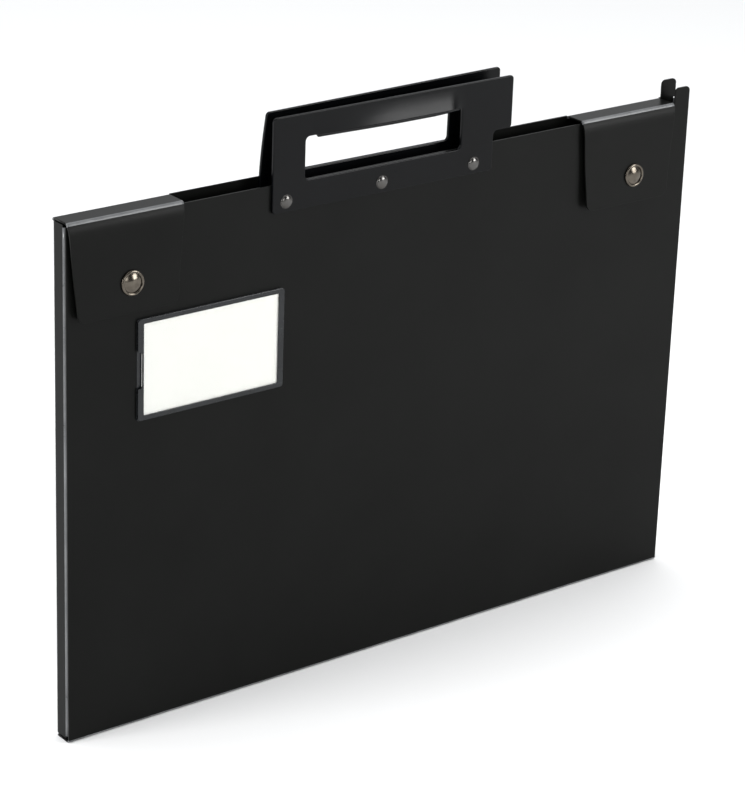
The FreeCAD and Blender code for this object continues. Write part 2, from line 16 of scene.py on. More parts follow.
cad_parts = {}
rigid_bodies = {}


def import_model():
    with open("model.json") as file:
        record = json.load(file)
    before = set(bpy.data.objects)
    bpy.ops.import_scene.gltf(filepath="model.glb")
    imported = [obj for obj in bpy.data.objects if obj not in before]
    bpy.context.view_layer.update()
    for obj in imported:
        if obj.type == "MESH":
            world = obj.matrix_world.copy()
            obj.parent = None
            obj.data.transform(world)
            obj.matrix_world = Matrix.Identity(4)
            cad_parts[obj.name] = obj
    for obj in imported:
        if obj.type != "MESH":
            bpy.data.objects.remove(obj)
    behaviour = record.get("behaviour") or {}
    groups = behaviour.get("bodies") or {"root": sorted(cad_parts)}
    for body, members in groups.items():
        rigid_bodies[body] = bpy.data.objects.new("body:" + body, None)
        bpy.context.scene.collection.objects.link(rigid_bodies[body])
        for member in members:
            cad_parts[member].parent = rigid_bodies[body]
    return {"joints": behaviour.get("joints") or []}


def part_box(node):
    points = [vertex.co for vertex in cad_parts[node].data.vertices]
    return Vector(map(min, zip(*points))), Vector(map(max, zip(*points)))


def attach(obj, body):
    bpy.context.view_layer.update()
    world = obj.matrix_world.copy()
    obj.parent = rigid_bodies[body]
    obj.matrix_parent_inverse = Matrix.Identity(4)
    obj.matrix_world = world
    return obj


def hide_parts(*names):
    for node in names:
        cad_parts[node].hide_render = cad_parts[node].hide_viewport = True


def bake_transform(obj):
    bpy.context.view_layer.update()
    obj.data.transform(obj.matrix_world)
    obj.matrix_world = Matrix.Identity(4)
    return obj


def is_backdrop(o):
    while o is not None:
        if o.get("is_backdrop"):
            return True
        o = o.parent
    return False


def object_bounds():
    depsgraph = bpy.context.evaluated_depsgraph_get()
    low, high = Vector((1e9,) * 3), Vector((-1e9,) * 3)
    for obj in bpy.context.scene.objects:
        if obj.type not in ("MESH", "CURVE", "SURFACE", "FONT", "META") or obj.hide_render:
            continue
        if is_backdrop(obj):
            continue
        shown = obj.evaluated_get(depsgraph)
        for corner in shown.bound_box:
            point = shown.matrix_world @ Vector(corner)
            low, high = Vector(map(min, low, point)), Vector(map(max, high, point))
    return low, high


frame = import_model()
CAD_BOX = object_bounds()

log = logging.getLogger("portfolio_case")

MM = 0.001
JOINTS = {joint["name"]: joint for joint in frame["joints"]}
Point2 = tuple[float, float]
Number = Union[int, float]


class Side(Enum):
    """The two ends of the case, as seen from the front."""

    LEFT = "left"
    RIGHT = "right"

    @property
    def outward(self) -> int:
        """The sign of row X towards this end."""
        return -1 if self is Side.LEFT else 1


class Axis(Enum):
    """The row plane in which a flat piece is drawn, as its across, up and thickness directions."""

    FRONT = ((1, 0, 0), (0, 0, 1), (0, -1, 0))
    END = ((0, 1, 0), (0, 0, 1), (1, 0, 0))
    TOP = ((1, 0, 0), (0, 1, 0), (0, 0, 1))

    def matrix(self, origin: Sequence[float] = (0, 0, 0)) -> Matrix:
        """Make the matrix that puts a flat piece in the row frame.

        Args:
            origin: the row point of the piece's own origin.

        Returns:
            A 4 by 4 matrix from the piece's own axes to the row frame.
        """
        rows = Matrix(self.value).transposed()
        return Matrix.Translation(origin) @ rows.to_4x4()


# ---------------------------------------------------------------- shader maths


class Signal:
    """One output socket of a material, which takes part in Python arithmetic."""

    def __init__(self, tree: "ShaderTree", socket: bpy.types.NodeSocket) -> None:
        """Keep the tree and the socket that it wraps."""
        self.tree = tree
        self.socket = socket

    def maths(self, operation: str, *others: Union["Signal", Number], clamp: bool = False) -> "Signal":
        """Add one Math node.

        Args:
            operation: the Math node's operation.
            others: its further inputs.
            clamp: whether the result stays between 0 and 1.

        Returns:
            The node's result.
        """
        settings = {"operation": operation, "use_clamp": clamp}
        values = dict(enumerate((self, *others)))
        return self.tree.node("ShaderNodeMath", settings, values)

    def __add__(self, other: Union["Signal", Number]) -> "Signal":
        """Sum of two values."""
        return self.maths("ADD", other)

    __radd__ = __add__

    def __mul__(self, other: Union["Signal", Number]) -> "Signal":
        """Product of two values."""
        return self.maths("MULTIPLY", other)

    __rmul__ = __mul__

    def __sub__(self, other: Union["Signal", Number]) -> "Signal":
        """This value less another."""
        return self.maths("SUBTRACT", other)

    def __rsub__(self, other: Number) -> "Signal":
        """Another value less this one."""
        return (self * -1.0) + other

    def __pow__(self, other: Union["Signal", Number]) -> "Signal":
        """This value raised to a power."""
        return self.maths("POWER", other)

    def between(self, low: Number, high: Number) -> "Signal":
        """Map low to 0 and high to 1, and clamp.

        Args:
            low: the value that gives 0.
            high: the value that gives 1.

        Returns:
            The mapped value.
        """
        values = {"Value": self, "From Min": low, "From Max": high}
        return self.tree.node("ShaderNodeMapRange", {"clamp": True}, values)


class ShaderTree:
    """A material under construction."""

    def __init__(self, name: str) -> None:
        """Start an empty material with only its output node."""
        self.material = bpy.data.materials.new(name)
        self.material.use_nodes = True
        self.nodes = self.material.node_tree.nodes
        self.links = self.material.node_tree.links
        self.nodes.clear()
        self.output = self.nodes.new("ShaderNodeOutputMaterial")

    def node(self, kind: str, settings: Optional[dict] = None, values: Optional[dict] = None,
             out: Union[int, str] = 0) -> Signal:
        """Add a node, set it up, and feed its sockets.

        Args:
            kind: the node's type.
            settings: the node's own properties, set first; "stops" holds a ramp's stops.
            values: a number, colour or Signal for each socket, by name or place.
            out: the output to return.

        Returns:
            The chosen output.
        """
        made = self.nodes.new(kind)
        for key, setting in (settings or {}).items():
            if key == "stops":
                self.set_stops(made.color_ramp, setting)
            else:
                setattr(made, key, setting)
        for key, fed in (values or {}).items():
            if isinstance(fed, Signal):
                self.links.new(fed.socket, made.inputs[key])
            else:
                made.inputs[key].default_value = fed
        return Signal(self, made.outputs[out])

    @staticmethod
    def set_stops(ramp: bpy.types.ColorRamp, stops: Sequence[tuple[float, Sequence[float]]]) -> None:
        """Give a colour ramp its stops.

        Args:
            ramp: the ramp.
            stops: pairs of place and colour, at least two.
        """
        while len(ramp.elements) < len(stops):
            ramp.elements.new(0.5)
        for element, (place, colour) in zip(ramp.elements, stops):
            element.position = place
            element.color = (*colour, 1.0)

    def place(self) -> Signal:
        """The point on the piece, in metres."""
        return self.node("ShaderNodeTexCoord", out="Object")

    def noise(self, scale: float, detail: float = 3.0, roughness: float = 0.5,
              stretch: Sequence[float] = (1, 1, 1)) -> Signal:
        """Fractal noise over the piece.

        Args:
            scale: features for each metre.
            detail: octaves.
            roughness: how strong the finer octaves are.
            stretch: how much faster it varies along each axis.

        Returns:
            The noise, about 0.5.
        """
        mapped = self.node("ShaderNodeMapping", values={"Vector": self.place(), "Scale": tuple(stretch)})
        values = {"Vector": mapped, "Scale": scale, "Detail": detail, "Roughness": roughness}
        return self.node("ShaderNodeTexNoise", values=values)

    def mix(self, amount: Union[Signal, Number], first: Sequence[float], second: Sequence[float]) -> Signal:
        """Mix two colours.

        Args:
            amount: how much of the second colour.
            first: the first colour.
            second: the second colour.

        Returns:
            The mixed colour.
        """
        values = {0: amount, 6: (*first, 1.0), 7: (*second, 1.0)}
        return self.node("ShaderNodeMix", {"data_type": "RGBA"}, values, out=2)

    def bump(self, height: Signal, distance: float, strength: float = 1.0,
             under: Optional[Signal] = None) -> Signal:
        """Turn a height into a normal.

        Args:
            height: 0 to 1.
            distance: the height of 1, in metres.
            strength: how much of the bump shows.
            under: a normal that this one adds to.

        Returns:
            The normal.
        """
        values = {"Height": height, "Distance": distance, "Strength": strength}
        if under is not None:
            values["Normal"] = under
        return self.node("ShaderNodeBump", values=values)

    def finish(self, shader: Signal) -> bpy.types.Material:
        """Feed the output node and give the material.

        Args:
            shader: the surface shader.

        Returns:
            The finished material.
        """
        self.links.new(shader.socket, self.output.inputs["Surface"])
        return self.material


# -------------------------------------------------------------------- finishes


@dataclass(frozen=True)
class SheetFinish:
    """Black polypropylene sheet with a fine sand grain, faint waviness and handling marks."""

    name: str
    dark: tuple[float, float, float] = (0.0026, 0.0028, 0.0025)
    worn: tuple[float, float, float] = (0.0056, 0.0060, 0.0055)
    roughness: float = 0.36
    specular: float = 0.08
    grain_per_metre: float = 2600.0
    grain_height: float = 0.000012
    wave_height: float = 0.0011

    def material(self) -> bpy.types.Material:
        """Make the material: colour, handling marks, grain and waviness."""
        tree = ShaderTree(self.name)
        clouds = tree.noise(14.0, 4.0, 0.6)
        marks = tree.noise(60.0, 6.0, 0.7, (1.0, 1.0, 0.25)).between(0.58, 0.80)
        grain = tree.noise(self.grain_per_metre, 2.0, 0.6)
        waves = tree.noise(5.0, 1.0, 0.4)
        scuffs = tree.noise(420.0, 2.0, 0.5, (1.0, 1.0, 0.06)).between(0.66, 0.80) * marks
        colour = tree.mix(clouds.between(0.3, 0.8) * 0.5 + scuffs * 0.5, self.dark, self.worn)
        rough = clouds * 0.10 + marks * 0.05 + scuffs * 0.08 + (self.roughness - 0.06)
        wavy = tree.bump(waves, self.wave_height)
        normal = tree.bump(grain, self.grain_height, under=wavy)
        values = {"Base Color": colour, "Roughness": rough, "Normal": normal,
                  "Specular IOR Level": self.specular}
        return tree.finish(tree.node("ShaderNodeBsdfPrincipled", values=values))


@dataclass(frozen=True)
class CutEdgeFinish:
    """The die-cut edge of the sheet, a little rough, with fine drag lines; its paler colour is partly the cut
    plastic and partly a painted highlight along the edge.
    """

    name: str
    dark: tuple[float, float, float] = (0.055, 0.057, 0.058)
    # Pale streak colour: partly the cut plastic, partly a painted highlight along the edge.
    pale: tuple[float, float, float] = (0.150, 0.152, 0.150)
    roughness: float = 0.38

    def material(self) -> bpy.types.Material:
        """Make the material: streaks of paler plastic along the cut, which also paint a highlight line along
        the edge.
        """
        tree = ShaderTree(self.name)
        streaks = tree.noise(900.0, 3.0, 0.6)
        chips = tree.noise(120.0, 4.0, 0.7)
        # Painted highlight mixed with paler cut plastic: the pale streaks along the edge.
        colour = tree.mix(streaks.between(0.35, 0.75) * chips.between(0.3, 0.7), self.dark, self.pale)
        rough = streaks * 0.2 + (self.roughness - 0.1)
        values = {"Base Color": colour, "Roughness": rough, "Normal": tree.bump(streaks, 0.00004),
                  "Specular IOR Level": 0.5}
        return tree.finish(tree.node("ShaderNodeBsdfPrincipled", values=values))


@dataclass(frozen=True)
class CreaseFinish:
    """A pressed fold: polished by the tool, with pale streaks that are partly stress whitening and partly a
    painted highlight along the fold.
    """

    name: str
    dark: tuple[float, float, float] = (0.035, 0.037, 0.039)
    # Pale streak colour: partly stress whitening, partly a painted highlight along the fold.
    whitened_and_highlit: tuple[float, float, float] = (0.17, 0.175, 0.18)
    roughness: float = 0.30

    def material(self) -> bpy.types.Material:
        """Make the material: pale streaks that come and go along the fold, partly stress whitening and partly
        painted highlight.
        """
        tree = ShaderTree(self.name)
        whitening_and_highlight = tree.noise(22.0, 5.0, 0.65).between(0.35, 0.72)
        fine = tree.noise(1500.0, 2.0, 0.5)
        # Painted highlight mixed with stress whitening: the pale streaks along the fold.
        colour = tree.mix(whitening_and_highlight * 0.75 + fine * 0.2, self.dark, self.whitened_and_highlit)
        rough = fine * 0.15 + whitening_and_highlight * 0.12 + (self.roughness - 0.10)
        values = {"Base Color": colour, "Roughness": rough, "Normal": tree.bump(fine, 0.00003),
                  "Specular IOR Level": 0.6}
        return tree.finish(tree.node("ShaderNodeBsdfPrincipled", values=values))


@dataclass(frozen=True)
class MetalFinish:
    """Nickel plate or spring wire, with fine swirl marks and a little tarnish."""

    name: str
    bright: tuple[float, float, float] = (0.105, 0.093, 0.077)
    tarnished: tuple[float, float, float] = (0.040, 0.033, 0.026)
    roughness: float = 0.15
    tarnish: float = 0.7

    def material(self) -> bpy.types.Material:
        """Make the material: tarnish in patches, swirl marks in the roughness."""
        tree = ShaderTree(self.name)
        patches = tree.noise(260.0, 4.0, 0.6)
        swirls = tree.noise(3800.0, 2.0, 0.5, (1.0, 1.0, 0.2))
        colour = tree.mix(patches.between(0.42, 0.75) * self.tarnish, self.bright, self.tarnished)
        rough = patches * 0.10 + swirls * 0.10 + (self.roughness - 0.08)
        values = {"Base Color": colour, "Roughness": rough, "Normal": tree.bump(swirls, 0.00001),
                  "Metallic": 1.0}
        return tree.finish(tree.node("ShaderNodeBsdfPrincipled", values=values))


@dataclass(frozen=True)
class GlossPlasticFinish:
    """Glossy black moulded plastic with faint sink marks and hairline scratches."""

    name: str
    colour: tuple[float, float, float] = (0.006, 0.007, 0.008)
    faded: tuple[float, float, float] = (0.014, 0.016, 0.018)
    roughness: float = 0.18

    def material(self) -> bpy.types.Material:
        """Make the material: sink marks, scratches and a slightly faded surface."""
        tree = ShaderTree(self.name)
        sinks = tree.noise(90.0, 2.0, 0.5)
        scratches = tree.noise(1400.0, 3.0, 0.6, (0.08, 1.0, 1.0)).between(0.60, 0.75)
        colour = tree.mix(sinks.between(0.3, 0.7) * 0.6 + scratches * 0.4, self.colour, self.faded)
        rough = scratches * 0.15 + sinks * 0.08 + (self.roughness - 0.04)
        values = {"Base Color": colour, "Roughness": rough, "Normal": tree.bump(sinks, 0.0001),
                  "Specular IOR Level": 0.28}
        return tree.finish(tree.node("ShaderNodeBsdfPrincipled", values=values))


@dataclass(frozen=True)
class CardFinish:
    """Plain uncoated white card, with its fibres showing faintly."""

    name: str
    white: tuple[float, float, float] = (0.76, 0.755, 0.725)
    shade: tuple[float, float, float] = (0.68, 0.672, 0.635)
    roughness: float = 0.7

    def material(self) -> bpy.types.Material:
        """Make the material: fibre flecks and a faint cloudiness."""
        tree = ShaderTree(self.name)
        fibres = tree.noise(1800.0, 4.0, 0.7, (0.5, 1.0, 1.0))
        clouds = tree.noise(45.0, 3.0, 0.5)
        colour = tree.mix(fibres.between(0.45, 0.8) * 0.5 + clouds * 0.3, self.white, self.shade)
        values = {"Base Color": colour, "Roughness": fibres * 0.2 + self.roughness,
                  "Normal": tree.bump(fibres, 0.00003), "Specular IOR Level": 0.25}
        return tree.finish(tree.node("ShaderNodeBsdfPrincipled", values=values))


@dataclass(frozen=True)
class FilmFinish:
    """Thin clear film: it shows what is behind it and only reflects."""

    name: str
    gloss: float = 0.10
    haze: float = 0.03
    least: float = 0.035
    most: float = 0.8
    falloff: float = 5.0

    def material(self) -> bpy.types.Material:
        """Make the material: a clear sheet that reflects more at a glancing angle."""
        tree = ShaderTree(self.name)
        ripple = tree.noise(35.0, 2.0, 0.5)
        normal = tree.bump(ripple, 0.0002)
        shine = tree.node("ShaderNodeBsdfGlossy", values={"Roughness": self.gloss, "Normal": normal})
        clear = tree.node("ShaderNodeBsdfTransparent", values={"Color": (0.985, 0.988, 0.985, 1.0)})
        glance = tree.node("ShaderNodeLayerWeight", values={"Blend": 0.5}, out="Facing")
        amount = glance ** self.falloff * self.most + ripple * self.haze + self.least
        return tree.finish(tree.node("ShaderNodeMixShader", values={0: amount, 1: clear, 2: shine}))


@dataclass(frozen=True)
class FloorFinish:
    """Plain pale studio paper."""

    name: str
    colour: tuple[float, float, float] = (0.90, 0.90, 0.90)
    roughness: float = 0.85

    def material(self) -> bpy.types.Material:
        """Make the material: matt, with a trace of paper grain."""
        tree = ShaderTree(self.name)
        grain = tree.noise(300.0, 2.0, 0.5)
        values = {"Base Color": (*self.colour, 1.0), "Roughness": grain * 0.1 + self.roughness,
                  "Specular IOR Level": 0.1}
        return tree.finish(tree.node("ShaderNodeBsdfPrincipled", values=values))


@dataclass
class Finishes:
    """Every material of the case, made once and shared by its pieces."""

    sheet: bpy.types.Material = field(default_factory=lambda: SheetFinish("case_sheet").material())
    plate: bpy.types.Material = field(
        default_factory=lambda: SheetFinish(
            "handle_plate", dark=(0.0010, 0.0012, 0.0015), worn=(0.0028, 0.0032, 0.0040),
            roughness=0.26, specular=0.105, grain_height=0.000008, wave_height=0.0016).material())
    # Handle plate edges: their pale streaks are partly a painted highlight.
    plate_edge: bpy.types.Material = field(
        default_factory=lambda: CutEdgeFinish(
            "plate_edge", dark=(0.030, 0.032, 0.035), pale=(0.090, 0.094, 0.100), roughness=0.30).material())
    # Sheet cut edges and fold creases: their pale streaks are partly a painted highlight.
    edge: bpy.types.Material = field(default_factory=lambda: CutEdgeFinish("cut_edge").material())
    crease: bpy.types.Material = field(default_factory=lambda: CreaseFinish("crease").material())
    nickel: bpy.types.Material = field(default_factory=lambda: MetalFinish("stud_nickel").material())
    rivet: bpy.types.Material = field(
        default_factory=lambda: MetalFinish(
            "rivet_nickel", bright=(0.085, 0.083, 0.080), tarnish=0.5).material())
    wire: bpy.types.Material = field(
        default_factory=lambda: MetalFinish(
            "spring_wire", bright=(0.55, 0.55, 0.54), roughness=0.26).material())
    rim: bpy.types.Material = field(default_factory=lambda: GlossPlasticFinish("label_rim").material())
    card: bpy.types.Material = field(default_factory=lambda: CardFinish("label_card_paper").material())
    film: bpy.types.Material = field(default_factory=lambda: FilmFinish("clear_film").material())


# -------------------------------------------------------------- mesh building


@dataclass(frozen=True)
class Corner:
    """One corner of an outline, with the radius that rounds it."""

    across: float
    up: float
    radius: float = 0.0


def rounded(corners: Sequence[Corner], steps: int = 8) -> list[Vector]:
    """Round the corners of an outline.

    Args:
        corners: the corners, in order round the outline.
        steps: how many chords make each rounded corner.

    Returns:
        The points of the outline.
    """
    points: list[Vector] = []
    for index, corner in enumerate(corners):
        here = Vector((corner.across, corner.up))
        before = corners[index - 1]
        after = corners[(index + 1) % len(corners)]
        back = (Vector((before.across, before.up)) - here).normalized()
        ahead = (Vector((after.across, after.up)) - here).normalized()
        if corner.radius <= 0:
            points.append(here)
            continue
        half = back.angle(ahead) / 2
        centre = here + (back + ahead).normalized() * corner.radius / math.sin(half)
        start = here + back * corner.radius / math.tan(half) - centre
        end = here + ahead * corner.radius / math.tan(half) - centre
        turn = start.angle_signed(end)
        for step in range(steps + 1):
            angle = -turn * step / steps
            points.append(centre + Matrix.Rotation(angle, 2) @ start)
    return points


def rectangle(left: float, bottom: float, right: float, top: float, radius: float = 0.0) -> list[Corner]:
    """The four corners of a rectangle, all rounded alike."""
    places = ((left, bottom), (right, bottom), (right, top), (left, top))
    return [Corner(across, up, radius) for across, up in places]


def inset(points: Sequence[Vector], distance: float) -> list[Vector]:
    """Move every side of an outline inwards.

    Args:
        points: the outline, counter-clockwise; a clockwise one moves outwards.
        distance: how far each side moves.

    Returns:
        The moved points, one for each given one.
    """
    moved = []
    for index, here in enumerate(points):
        back = (here - points[index - 1]).normalized()
        ahead = (points[(index + 1) % len(points)] - here).normalized()
        normal = Vector((-back.y - ahead.y, back.x + ahead.x))
        if normal.length < 1e-9:
            normal = Vector((-ahead.y, ahead.x))
        normal.normalize()
        lean = max(0.35, normal.dot(Vector((-ahead.y, ahead.x))))
        moved.append(here + normal * distance / lean)
    return moved


@dataclass
class Slab:
    """A flat piece cut from sheet, with softened edges and optional holes.

    Its faces take material 0 and its cut edges material 1.
    """

    outline: list[Vector]
    thickness: float
    place: Matrix
    holes: Sequence[list[Vector]] = ()
    edge_radius: float = 0.18 * MM
    edge_steps: int = 3
    rows: int = 0
    columns: int = 0
    shape: Optional[Callable[[Vector], Vector]] = None

    def build(self, name: str) -> bpy.types.Object:
        """Make the piece's object.

        Args:
            name: the piece's name.

        Returns:
            The new object, in the row frame.
        """
        shell = bmesh.new()
        loops = [self.outline, *self.holes]
        faces = [self.add_walls(shell, loop) for loop in loops]
        self.add_face(shell, [pair[0] for pair in faces])
        self.add_face(shell, [pair[1] for pair in faces])
        bmesh.ops.recalc_face_normals(shell, faces=shell.faces)
        self.add_cuts(shell)
        for edge in shell.edges:
            kinds = {face.material_index for face in edge.link_faces}
            edge.smooth = len(kinds) < 2
        for vertex in shell.verts:
            moved = self.shape(vertex.co) if self.shape else vertex.co
            vertex.co = self.place @ moved
        for face in shell.faces:
            face.smooth = True
        return mesh_object(name, shell)

    def add_walls(self, shell: bmesh.types.BMesh, loop: Sequence[Vector]) -> tuple[list, list]:
        """Add the softened wall round one loop.

        Args:
            shell: the mesh being built.
            loop: the loop's points.

        Returns:
            The vertices of the loop's far and near rims.
        """
        turns = [step / self.edge_steps * math.pi / 2 for step in range(self.edge_steps + 1)]
        levels = [(self.edge_radius * (1 - math.sin(turn)), self.edge_radius * (1 - math.cos(turn)))
                  for turn in turns]
        profile = levels + [(inward, self.thickness - depth) for inward, depth in reversed(levels)]
        rings = []
        for inward, depth in profile:
            moved = inset(loop, inward)
            rings.append([shell.verts.new((point.x, point.y, depth)) for point in moved])
        for low, high in zip(rings, rings[1:]):
            for index in range(len(loop)):
                after = (index + 1) % len(loop)
                face = shell.faces.new((low[index], low[after], high[after], high[index]))
                face.material_index = 1
        return rings[0], rings[-1]

    @staticmethod
    def add_face(shell: bmesh.types.BMesh, rims: Sequence[list]) -> None:
        """Fill one flat face between the outline and the holes.

        Args:
            shell: the mesh being built.
            rims: the vertices of the outline and of each hole.
        """
        vertices = [vertex for rim in rims for vertex in rim]
        loops = [[Vector((vertex.co.x, vertex.co.y, 0)) for vertex in rim] for rim in rims]
        for triangle in tessellate_polygon(loops):
            corners = [vertices[index] for index in triangle]
            if len(set(corners)) == 3:
                shell.faces.new(corners)

    def add_cuts(self, shell: bmesh.types.BMesh) -> None:
        """Divide the piece by even rows and columns, so that it can bend."""
        across = [vertex.co.x for vertex in shell.verts]
        up = [vertex.co.y for vertex in shell.verts]
        spans = ((self.columns, min(across), max(across), 0), (self.rows, min(up), max(up), 1))
        for count, low, high, axis in spans:
            for step in range(1, count):
                level = Vector((0, 0, 0))
                level[axis] = low + (high - low) * step / count
                normal = Vector((0, 0, 0))
                normal[axis] = 1
                parts = list(shell.verts) + list(shell.edges) + list(shell.faces)
                bmesh.ops.bisect_plane(shell, geom=parts, plane_co=level, plane_no=normal, dist=1e-7)


def mesh_object(name: str, shell: bmesh.types.BMesh) -> bpy.types.Object:
    """Turn a finished bmesh into an object in the scene.

    Args:
        name: the object's name.
        shell: the mesh, which is freed.

    Returns:
        The new object.
    """
    mesh = bpy.data.meshes.new(name)
    shell.to_mesh(mesh)
    shell.free()
    made = bpy.data.objects.new(name, mesh)
    bpy.context.scene.collection.objects.link(made)
    return made


def dress(piece: bpy.types.Object, *materials: bpy.types.Material) -> None:
    """Give a piece its materials, in slot order."""
    piece.data.materials.clear()
    for material in materials:
        piece.data.materials.append(material)


def install(piece: bpy.types.Object, body: str, slot: str, *nodes: str) -> bpy.types.Object:
    """Fasten a finished piece to its body.

    Args:
        piece: the piece.
        body: the body that it moves with.
        slot: the record's material slot; not used.
        nodes: the CAD nodes that it stands for.

    Returns:
        The same piece.
    """
    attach(piece, body)
    if nodes:
        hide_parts(*nodes)
    log.info("%s: %d faces, on %s", piece.name, len(piece.data.polygons), body)
    return piece


@dataclass
class Turning:
    """A round piece: a profile of (radius, height) points turned about an axis."""

    profile: list[Point2]
    origin: Vector
    axis: Vector
    segments: int = 56

    def add_to(self, shell: bmesh.types.BMesh) -> None:
        """Add the turned solid to a mesh.

        Args:
            shell: the mesh being built.
        """
        turn = self.axis.normalized().to_track_quat("Z", "Y").to_matrix().to_4x4()
        place = Matrix.Translation(self.origin) @ turn
        rings = []
        for radius, height in self.profile:
            count = 1 if radius < 1e-9 else self.segments
            angles = [2 * math.pi * step / self.segments for step in range(count)]
            rings.append([
                shell.verts.new(place @ Vector((radius * math.cos(angle), radius * math.sin(angle), height)))
                for angle in angles
            ])
        closed = self.profile[0][0] > 1e-9 and self.profile[-1][0] > 1e-9
        pairs = list(zip(rings, rings[1:])) + ([(rings[-1], rings[0])] if closed else [])
        made = [face for low, high in pairs for face in self.band(shell, low, high)]
        bmesh.ops.recalc_face_normals(shell, faces=made)

    def band(self, shell: bmesh.types.BMesh, low: list, high: list) -> Iterable[bmesh.types.BMFace]:
        """Join two rings with faces.

        Args:
            shell: the mesh being built.
            low: the first ring; one vertex on the axis.
            high: the next ring; one vertex on the axis.

        Yields:
            The new faces.
        """
        for step in range(self.segments):
            after = (step + 1) % self.segments
            if len(low) == 1 and len(high) == 1:
                return
            if len(low) == 1:
                yield shell.faces.new((low[0], high[after], high[step]))
            elif len(high) == 1:
                yield shell.faces.new((low[step], low[after], high[0]))
            else:
                yield shell.faces.new((low[step], low[after], high[after], high[step]))


def turned_object(name: str, turnings: Sequence[Turning], crease_angle: float = 40.0) -> bpy.types.Object:
    """Build one object from one or more turned solids.

    Args:
        name: the object's name.
        turnings: the solids.
        crease_angle: edges sharper than this many degrees stay crisp.

    Returns:
        The new object.
    """
    shell = bmesh.new()
    for turning in turnings:
        turning.add_to(shell)
    for face in shell.faces:
        face.smooth = True
    for edge in shell.edges:
        if len(edge.link_faces) == 2 and edge.calc_face_angle(0.0) > math.radians(crease_angle):
            edge.smooth = False
    return mesh_object(name, shell)


def arc_profile(centre: Point2, radius: float, start: float, end: float, steps: int = 8) -> list[Point2]:
    """Points of an arc in a turning profile.

    Args:
        centre: the arc's centre as (radius, height).
        radius: the arc's own radius.
        start: the first angle, in degrees from outward towards up.
        end: the last angle, in degrees.
        steps: how many chords.

    Returns:
        The points, from start to end.
    """
    angles = [math.radians(start + (end - start) * step / steps) for step in range(steps + 1)]
    return [(centre[0] + radius * math.cos(angle), centre[1] + radius * math.sin(angle))
            for angle in angles]


# ------------------------------------------------------------------ the creases


@dataclass
class Crease:
    """The live hinge that joins two panels across one fold.

    first and second point from the fold line into each panel; along is the fold's own span.
    quarter_turn is the handle length that bends a curve into a quarter circle, outer_share is how
    much of the groove shows outside the fold, and buried draws the web's ends into the panels.
    """

    joint: str
    first: Vector
    second: Vector
    along: tuple[float, float]
    gap: float = 1.0 * MM
    thickness: float = 1.2 * MM
    tuck: float = 0.5 * MM
    groove: float = 0.22 * MM
    quarter_turn: float = 0.5523
    outer_share: float = 0.35
    buried: float = 0.93
    steps: int = 12
    lengths: int = 40

    def build(self, name: str, finishes: Finishes) -> bpy.types.Object:
        """Make the hinge web along the fold.

        Args:
            name: the piece's name.
            finishes: the shared materials.

        Returns:
            The new piece.
        """
        joint = JOINTS[self.joint]
        axis = Vector(joint["axis"])
        axis = Vector([abs(part) for part in axis])
        fold = Vector(joint["pos_m"])
        fold -= axis * fold.dot(axis)
        ring = self.section()
        shell = bmesh.new()
        rows = []
        for step in range(self.lengths + 1):
            level = self.along[0] + (self.along[1] - self.along[0]) * step / self.lengths
            rows.append([shell.verts.new(fold + axis * level + point) for point in ring])
        for low, high in zip(rows, rows[1:]):
            for index in range(len(ring)):
                after = (index + 1) % len(ring)
                shell.faces.new((low[index], low[after], high[after], high[index]))
        shell.faces.new(rows[0])
        shell.faces.new(list(reversed(rows[-1])))
        bmesh.ops.recalc_face_normals(shell, faces=shell.faces)
        for face in shell.faces:
            face.smooth = len(face.verts) == 4
        piece = mesh_object(name, shell)
        dress(piece, finishes.crease)
        middle = axis * sum(self.along) / 2
        start = fold + middle + self.first * self.gap
        end = fold + middle + self.second * self.gap
        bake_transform(piece)
        log.info("%s: crease between %s and %s", name, joint["parent"], joint["child"])
        return piece

    def section(self) -> list[Vector]:
        """The closed section of the web, about the fold line.

        Returns:
            The points of its outer surface and then, backwards, of its inner surface.
        """
        outer = self.surface(1)
        inner = self.surface(-1)
        for index in range(1, len(outer) - 1):
            share = max(0.0, math.sin(math.pi * (index - 1) / (len(outer) - 3)))
            pressed = self.groove * share ** 0.5
            web = inner[index] - outer[index]
            outer[index] += web.normalized() * pressed * self.outer_share
            inner[index] -= web.normalized() * pressed
        return outer + list(reversed(inner))

    def surface(self, side: int) -> list[Vector]:
        """One surface of the web, from inside the first panel to inside the second.

        Args:
            side: 1 for the outside of the fold, -1 for the inside.

        Returns:
            The points of the surface.
        """
        half = self.thickness / 2 * side
        inwards = self.first + self.second
        off_first = (self.first * inwards.dot(self.first) - inwards).normalized() * half
        off_second = (self.second * inwards.dot(self.second) - inwards).normalized() * half
        start = self.first * self.gap + off_first
        end = self.second * self.gap + off_second
        reach = self.quarter_turn * (self.gap + half)
        controls = (start, start - self.first * reach, end - self.second * reach, end)
        points = [self.first * (self.gap + self.tuck) + off_first * self.buried]
        for step in range(self.steps + 1):
            share = step / self.steps
            rest = 1 - share
            weights = (rest ** 3, 3 * share * rest ** 2, 3 * share * share * rest, share ** 3)
            pulls = (control * weight for control, weight in zip(controls, weights))
            points.append(sum(pulls, Vector()))
        points.append(self.second * (self.gap + self.tuck) + off_second * self.buried)
        return points


# ------------------------------------------------------------ the sub-assemblies


